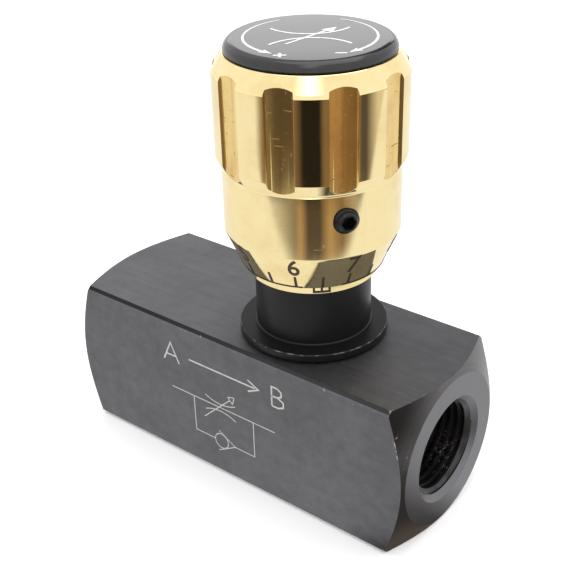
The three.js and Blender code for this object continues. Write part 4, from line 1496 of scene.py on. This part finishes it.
def dial(shader, angle, stops):
    """A colour that changes with an angle in degrees, through stops of (angle, colour)."""
    ramp = shader.tree.nodes.new("ShaderNodeValToRGB")
    shader.feed(ramp.inputs[0], (angle + 180.0) / 360.0)
    elements = ramp.color_ramp.elements
    while len(elements) < len(stops):
        elements.new(0.5)
    for element, (at, _) in zip(elements, stops):
        element.position = (at + 180) / 360
    for element, (_, tint) in zip(elements, stops):
        element.color = (*tint, 1)
    return Wire(shader, ramp.outputs[0])


WHITE_WALL = (1.0, 1.0, 1.0)
CREAM_WALL = (0.74, 0.68, 0.57)
GREY_WALL = (0.6, 0.58, 0.55)
DIM_WALL = (0.28, 0.25, 0.2)
BROWN_PANEL = (0.24, 0.16, 0.09)
TAN_PANEL = (0.5, 0.34, 0.2)
DARK_FLAG = (0.1, 0.08, 0.065)
BLACK_FLAG = (0.02, 0.017, 0.015)
# What stands round the valve, as degrees from its front and the tone there.
FAR_ROOM = [
    (-180, WHITE_WALL), (-66, WHITE_WALL), (-57, BROWN_PANEL), (-50, DARK_FLAG), (-34, DARK_FLAG),
    (-26, DIM_WALL), (-20, BROWN_PANEL), (-11, BLACK_FLAG), (7, BLACK_FLAG), (12, BROWN_PANEL),
    (31, BROWN_PANEL), (39, TAN_PANEL), (50, TAN_PANEL), (55, DARK_FLAG), (61, DARK_FLAG),
    (76, CREAM_WALL), (130, WHITE_WALL), (180, WHITE_WALL),
]
NEAR_ROOM = [
    (-180, WHITE_WALL), (-62, WHITE_WALL), (-40, GREY_WALL), (-23, DIM_WALL), (-16, TAN_PANEL),
    (-7, DARK_FLAG), (7, DARK_FLAG), (19, TAN_PANEL), (34, BROWN_PANEL), (60, GREY_WALL),
    (92, CREAM_WALL), (130, WHITE_WALL), (180, WHITE_WALL),
]
CLOSE_ROOM = [
    (-180, WHITE_WALL), (6, WHITE_WALL), (20, DARK_FLAG), (47, DARK_FLAG), (66, WHITE_WALL),
    (180, WHITE_WALL),
]


def room_on_floor():
    """What the bright metal mirrors from the floor: a dark room in front and to the right."""
    sheet = new_piece(bpy.ops.mesh.primitive_circle_add, radius=0.7, vertices=96, fill_type="NGON")
    put(sheet, Matrix.Translation((VALVE_X * MM, 0, 0.0002)))
    shader = glowing("mirrored_room")
    x, y, _ = shader.split(shader.mapped(shader.place(), location=(-VALVE_X * MM, 0, 0)))
    out = (x * x + y * y) ** 0.5
    cosine, sine = polar(1, ROOM_FRONT)
    ahead = x * cosine + y * sine
    aside = y * cosine - x * sine
    angle = shader.add("Math", {"operation": "ARCTAN2"}, {0: aside, 1: ahead}) * (180 / math.pi)
    far = dial(shader, angle, FAR_ROOM)
    near = dial(shader, angle, NEAR_ROOM)
    close = dial(shader, angle, CLOSE_ROOM)
    turn = (angle - 3.0) * (angle - 3.0) / 3600.0
    bowl = out - turn * 0.012 - turn * turn * 0.028
    room = shader.mix(out.step(0.132, 0.15), near, far)
    room = shader.mix(bowl.step(0.096, 0.111), WHITE_WALL, room)
    room = shader.mix(out.step(0.062, 0.085), close, room)
    room = shader.mix(out.step(0.5, 0.68), room, WHITE_WALL)
    shader.set("Emission Color", room)
    unseen(sheet, shader)


def direction(azimuth, elevation):
    """A unit vector, from its angle in plan from the X axis and its height angle."""
    return Vector((*polar(math.cos(elevation), azimuth), math.sin(elevation)))


def sky_card(name, azimuth, elevation, distance, size, left, right, glow=False):
    """A card round the valve, placed by angles in degrees; with glow it fades outwards."""
    sheet = new_piece(bpy.ops.mesh.primitive_grid_add, x_subdivisions=2, y_subdivisions=2, size=1)
    out = direction(math.radians(azimuth), math.radians(elevation))
    turn = (-out).to_track_quat("Z", "Y").to_matrix().to_4x4()
    sheet.matrix_world = (
        Matrix.Translation(out * distance) @ turn @ Matrix.Diagonal((size[0], size[1], 1, 1))
    )
    shader = glowing(name)
    x, y, _ = shader.split(shader.place())
    shader.set("Emission Color", shader.mix((x + 0.5).step(0.1, 0.9), left, right))
    if glow:
        shader.set("Alpha", 1 - ((x * x + y * y) ** 0.5).step(0.08, 0.5))
    unseen(sheet, shader)


def surround(strength):
    """An even white surround."""
    world = bpy.data.worlds.new("white_surround")
    bpy.context.scene.world = world
    world.use_nodes = True
    background = world.node_tree.nodes["Background"]
    background.inputs["Color"].default_value = (1, 1, 1, 1)
    background.inputs["Strength"].default_value = strength


def floor(paper):
    sheet = new_piece(bpy.ops.mesh.primitive_plane_add, size=6)
    sheet.name = "floor"
    shader = Shader(
        "paper", Roughness=0.9, Specular_IOR_Level=0.1, Emission_Color=WHITE_WALL,
        Emission_Strength=0.2
    )
    cloud = shader.noise(shader.place(), 60.0, detail=3.0)
    shader.set("Base Color", shader.mix(cloud, paper, tinted(paper, 0.985)))
    sheet.data.materials.append(shader.material)


def lamp(name, place, target, size, power):
    data = bpy.data.lights.new(name, "AREA")
    data.size = size
    data.energy = power
    light = linked(name, data)
    light.location = place
    light.rotation_euler = (Vector(target) - Vector(place)).to_track_quat("-Z", "Y").to_euler()


def camera(stage):
    back = direction(stage.azimuth - math.pi / 2, stage.elevation)
    level = direction(stage.azimuth, 0)
    upright = back.cross(level)
    right = math.cos(stage.roll) * level + math.sin(stage.roll) * upright
    up = back.cross(right)
    data = bpy.data.cameras.new("camera")
    data.lens = stage.lens
    data.sensor_width = 36
    data.clip_start = 0.01
    eye = linked("camera", data)
    turn = Matrix((right, up, back)).transposed().to_4x4()
    eye.matrix_world = Matrix.Translation(stage.place) @ turn
    bpy.context.scene.camera = eye


def build_stage():
    stage = bpy.context.scene.valve_stage
    camera(stage)
    floor(tuple(stage.floor))
    surround(stage.sky)
    bpy.context.scene.view_settings.view_transform = "Standard"
    lamp("top_softbox", (0.05, 0.1, 0.6), (0, 0, 0.03), 0.5, 1.2)
    room_on_floor()
    glint = (2.6, 2.6, 2.6)
    sky_card("front_glint", -54, 56, 0.8, (0.4, 0.7), glint, glint, glow=True)
    sky_card("sky_behind", 126, 33, 1.0, (0.9, 0.5), (0.82, 0.82, 0.84), (0.01, 0.01, 0.02))
    low_left, low_right = (1.95, 1.95, 1.95), (1.9, 1.9, 1.9)
    sky_card("low_sky_behind", 126, 20.5, 1.0, (0.7, 0.16), low_left, low_right)


# ---- operators and panel ------------------------------------------------------------------


class VALVE_OT_line_body(bpy.types.Operator):
    """Builds the steel body with its cut threads and bores"""
    bl_idname = "valve.line_body"
    bl_label = "Line Body"

    def execute(self, context):
        line_body(setting("body"))
        return {"FINISHED"}


class VALVE_OT_flow_symbol(bpy.types.Operator):
    """Marks the flow symbol and port letters on the front face"""
    bl_idname = "valve.flow_symbol"
    bl_label = "Flow Symbol"

    def execute(self, context):
        flow_symbol(setting("body"))
        return {"FINISHED"}


class VALVE_OT_bonnet(bpy.types.Operator):
    """Builds the bonnet with its flange and sleeve"""
    bl_idname = "valve.bonnet"
    bl_label = "Bonnet"

    def execute(self, context):
        bonnet(setting("bonnet"))
        return {"FINISHED"}


class VALVE_OT_seals(bpy.types.Operator):
    """Builds the O-rings and the backup ring"""
    bl_idname = "valve.seals"
    bl_label = "Seals"

    def execute(self, context):
        seals()
        return {"FINISHED"}


class VALVE_OT_spindle(bpy.types.Operator):
    """Builds the needle, the spindle and their split rings"""
    bl_idname = "valve.spindle"
    bl_label = "Needle and Spindle"

    def execute(self, context):
        needle()
        spindle()
        split_rings()
        return {"FINISHED"}


class VALVE_OT_knob(bpy.types.Operator):
    """Builds the fluted knob and its scale"""
    bl_idname = "valve.knob"
    bl_label = "Knob"

    def execute(self, context):
        knob_shell(setting("knob"))
        scale_marks()
        return {"FINISHED"}


class VALVE_OT_cap(bpy.types.Operator):
    """Builds the cap, its marks and the screw and washer under it"""
    bl_idname = "valve.cap"
    bl_label = "Cap"

    def execute(self, context):
        knob_fixing()
        cap_disc(setting("cap"))
        cap_marks(setting("cap"))
        return {"FINISHED"}


class VALVE_OT_lock(bpy.types.Operator):
    """Builds the lock screw and its pad"""
    bl_idname = "valve.lock"
    bl_label = "Lock Screw"

    def execute(self, context):
        lock_screw()
        return {"FINISHED"}


class VALVE_OT_check(bpy.types.Operator):
    """Builds the check poppet, its spring, retainer and snap ring"""
    bl_idname = "valve.check"
    bl_label = "Check Valve"

    def execute(self, context):
        check_poppet()
        check_spring()
        retainer()
        return {"FINISHED"}


class VALVE_OT_stage(bpy.types.Operator):
    """Sets the floor, the lights and the camera"""
    bl_idname = "valve.stage"
    bl_label = "Stage"

    def execute(self, context):
        build_stage()
        return {"FINISHED"}


STEPS = (
    VALVE_OT_stage, VALVE_OT_line_body, VALVE_OT_flow_symbol, VALVE_OT_bonnet, VALVE_OT_seals,
    VALVE_OT_spindle, VALVE_OT_knob, VALVE_OT_cap, VALVE_OT_lock, VALVE_OT_check,
)
GROUPS = {
    "valve_body": BodySettings,
    "valve_bonnet": BonnetSettings,
    "valve_knob": KnobSettings,
    "valve_cap": CapSettings,
    "valve_stage": StageSettings,
}


class VALVE_PT_pieces(bpy.types.Panel):
    """Lists the valve's settings and the steps that build it"""
    bl_label = "Flow Control Valve"
    bl_idname = "VALVE_PT_pieces"
    bl_space_type = "VIEW_3D"
    bl_region_type = "UI"
    bl_category = "Valve"

    def draw(self, context):
        for name, group in GROUPS.items():
            box = self.layout.box()
            for prop in group.__annotations__:
                box.prop(getattr(context.scene, name), prop)
        for step in STEPS:
            self.layout.operator(step.bl_idname)


CLASSES = (*GROUPS.values(), *STEPS, VALVE_PT_pieces)


def register():
    for cls in CLASSES:
        bpy.utils.register_class(cls)
    for name, group in GROUPS.items():
        setattr(bpy.types.Scene, name, PointerProperty(type=group))


def unregister():
    for name in GROUPS:
        delattr(bpy.types.Scene, name)
    for cls in reversed(CLASSES):
        bpy.utils.unregister_class(cls)


def main():
    register()
    for step in STEPS:
        group, name = step.bl_idname.split(".")
        getattr(getattr(bpy.ops, group), name)()


if __name__ == "__main__":
    main()
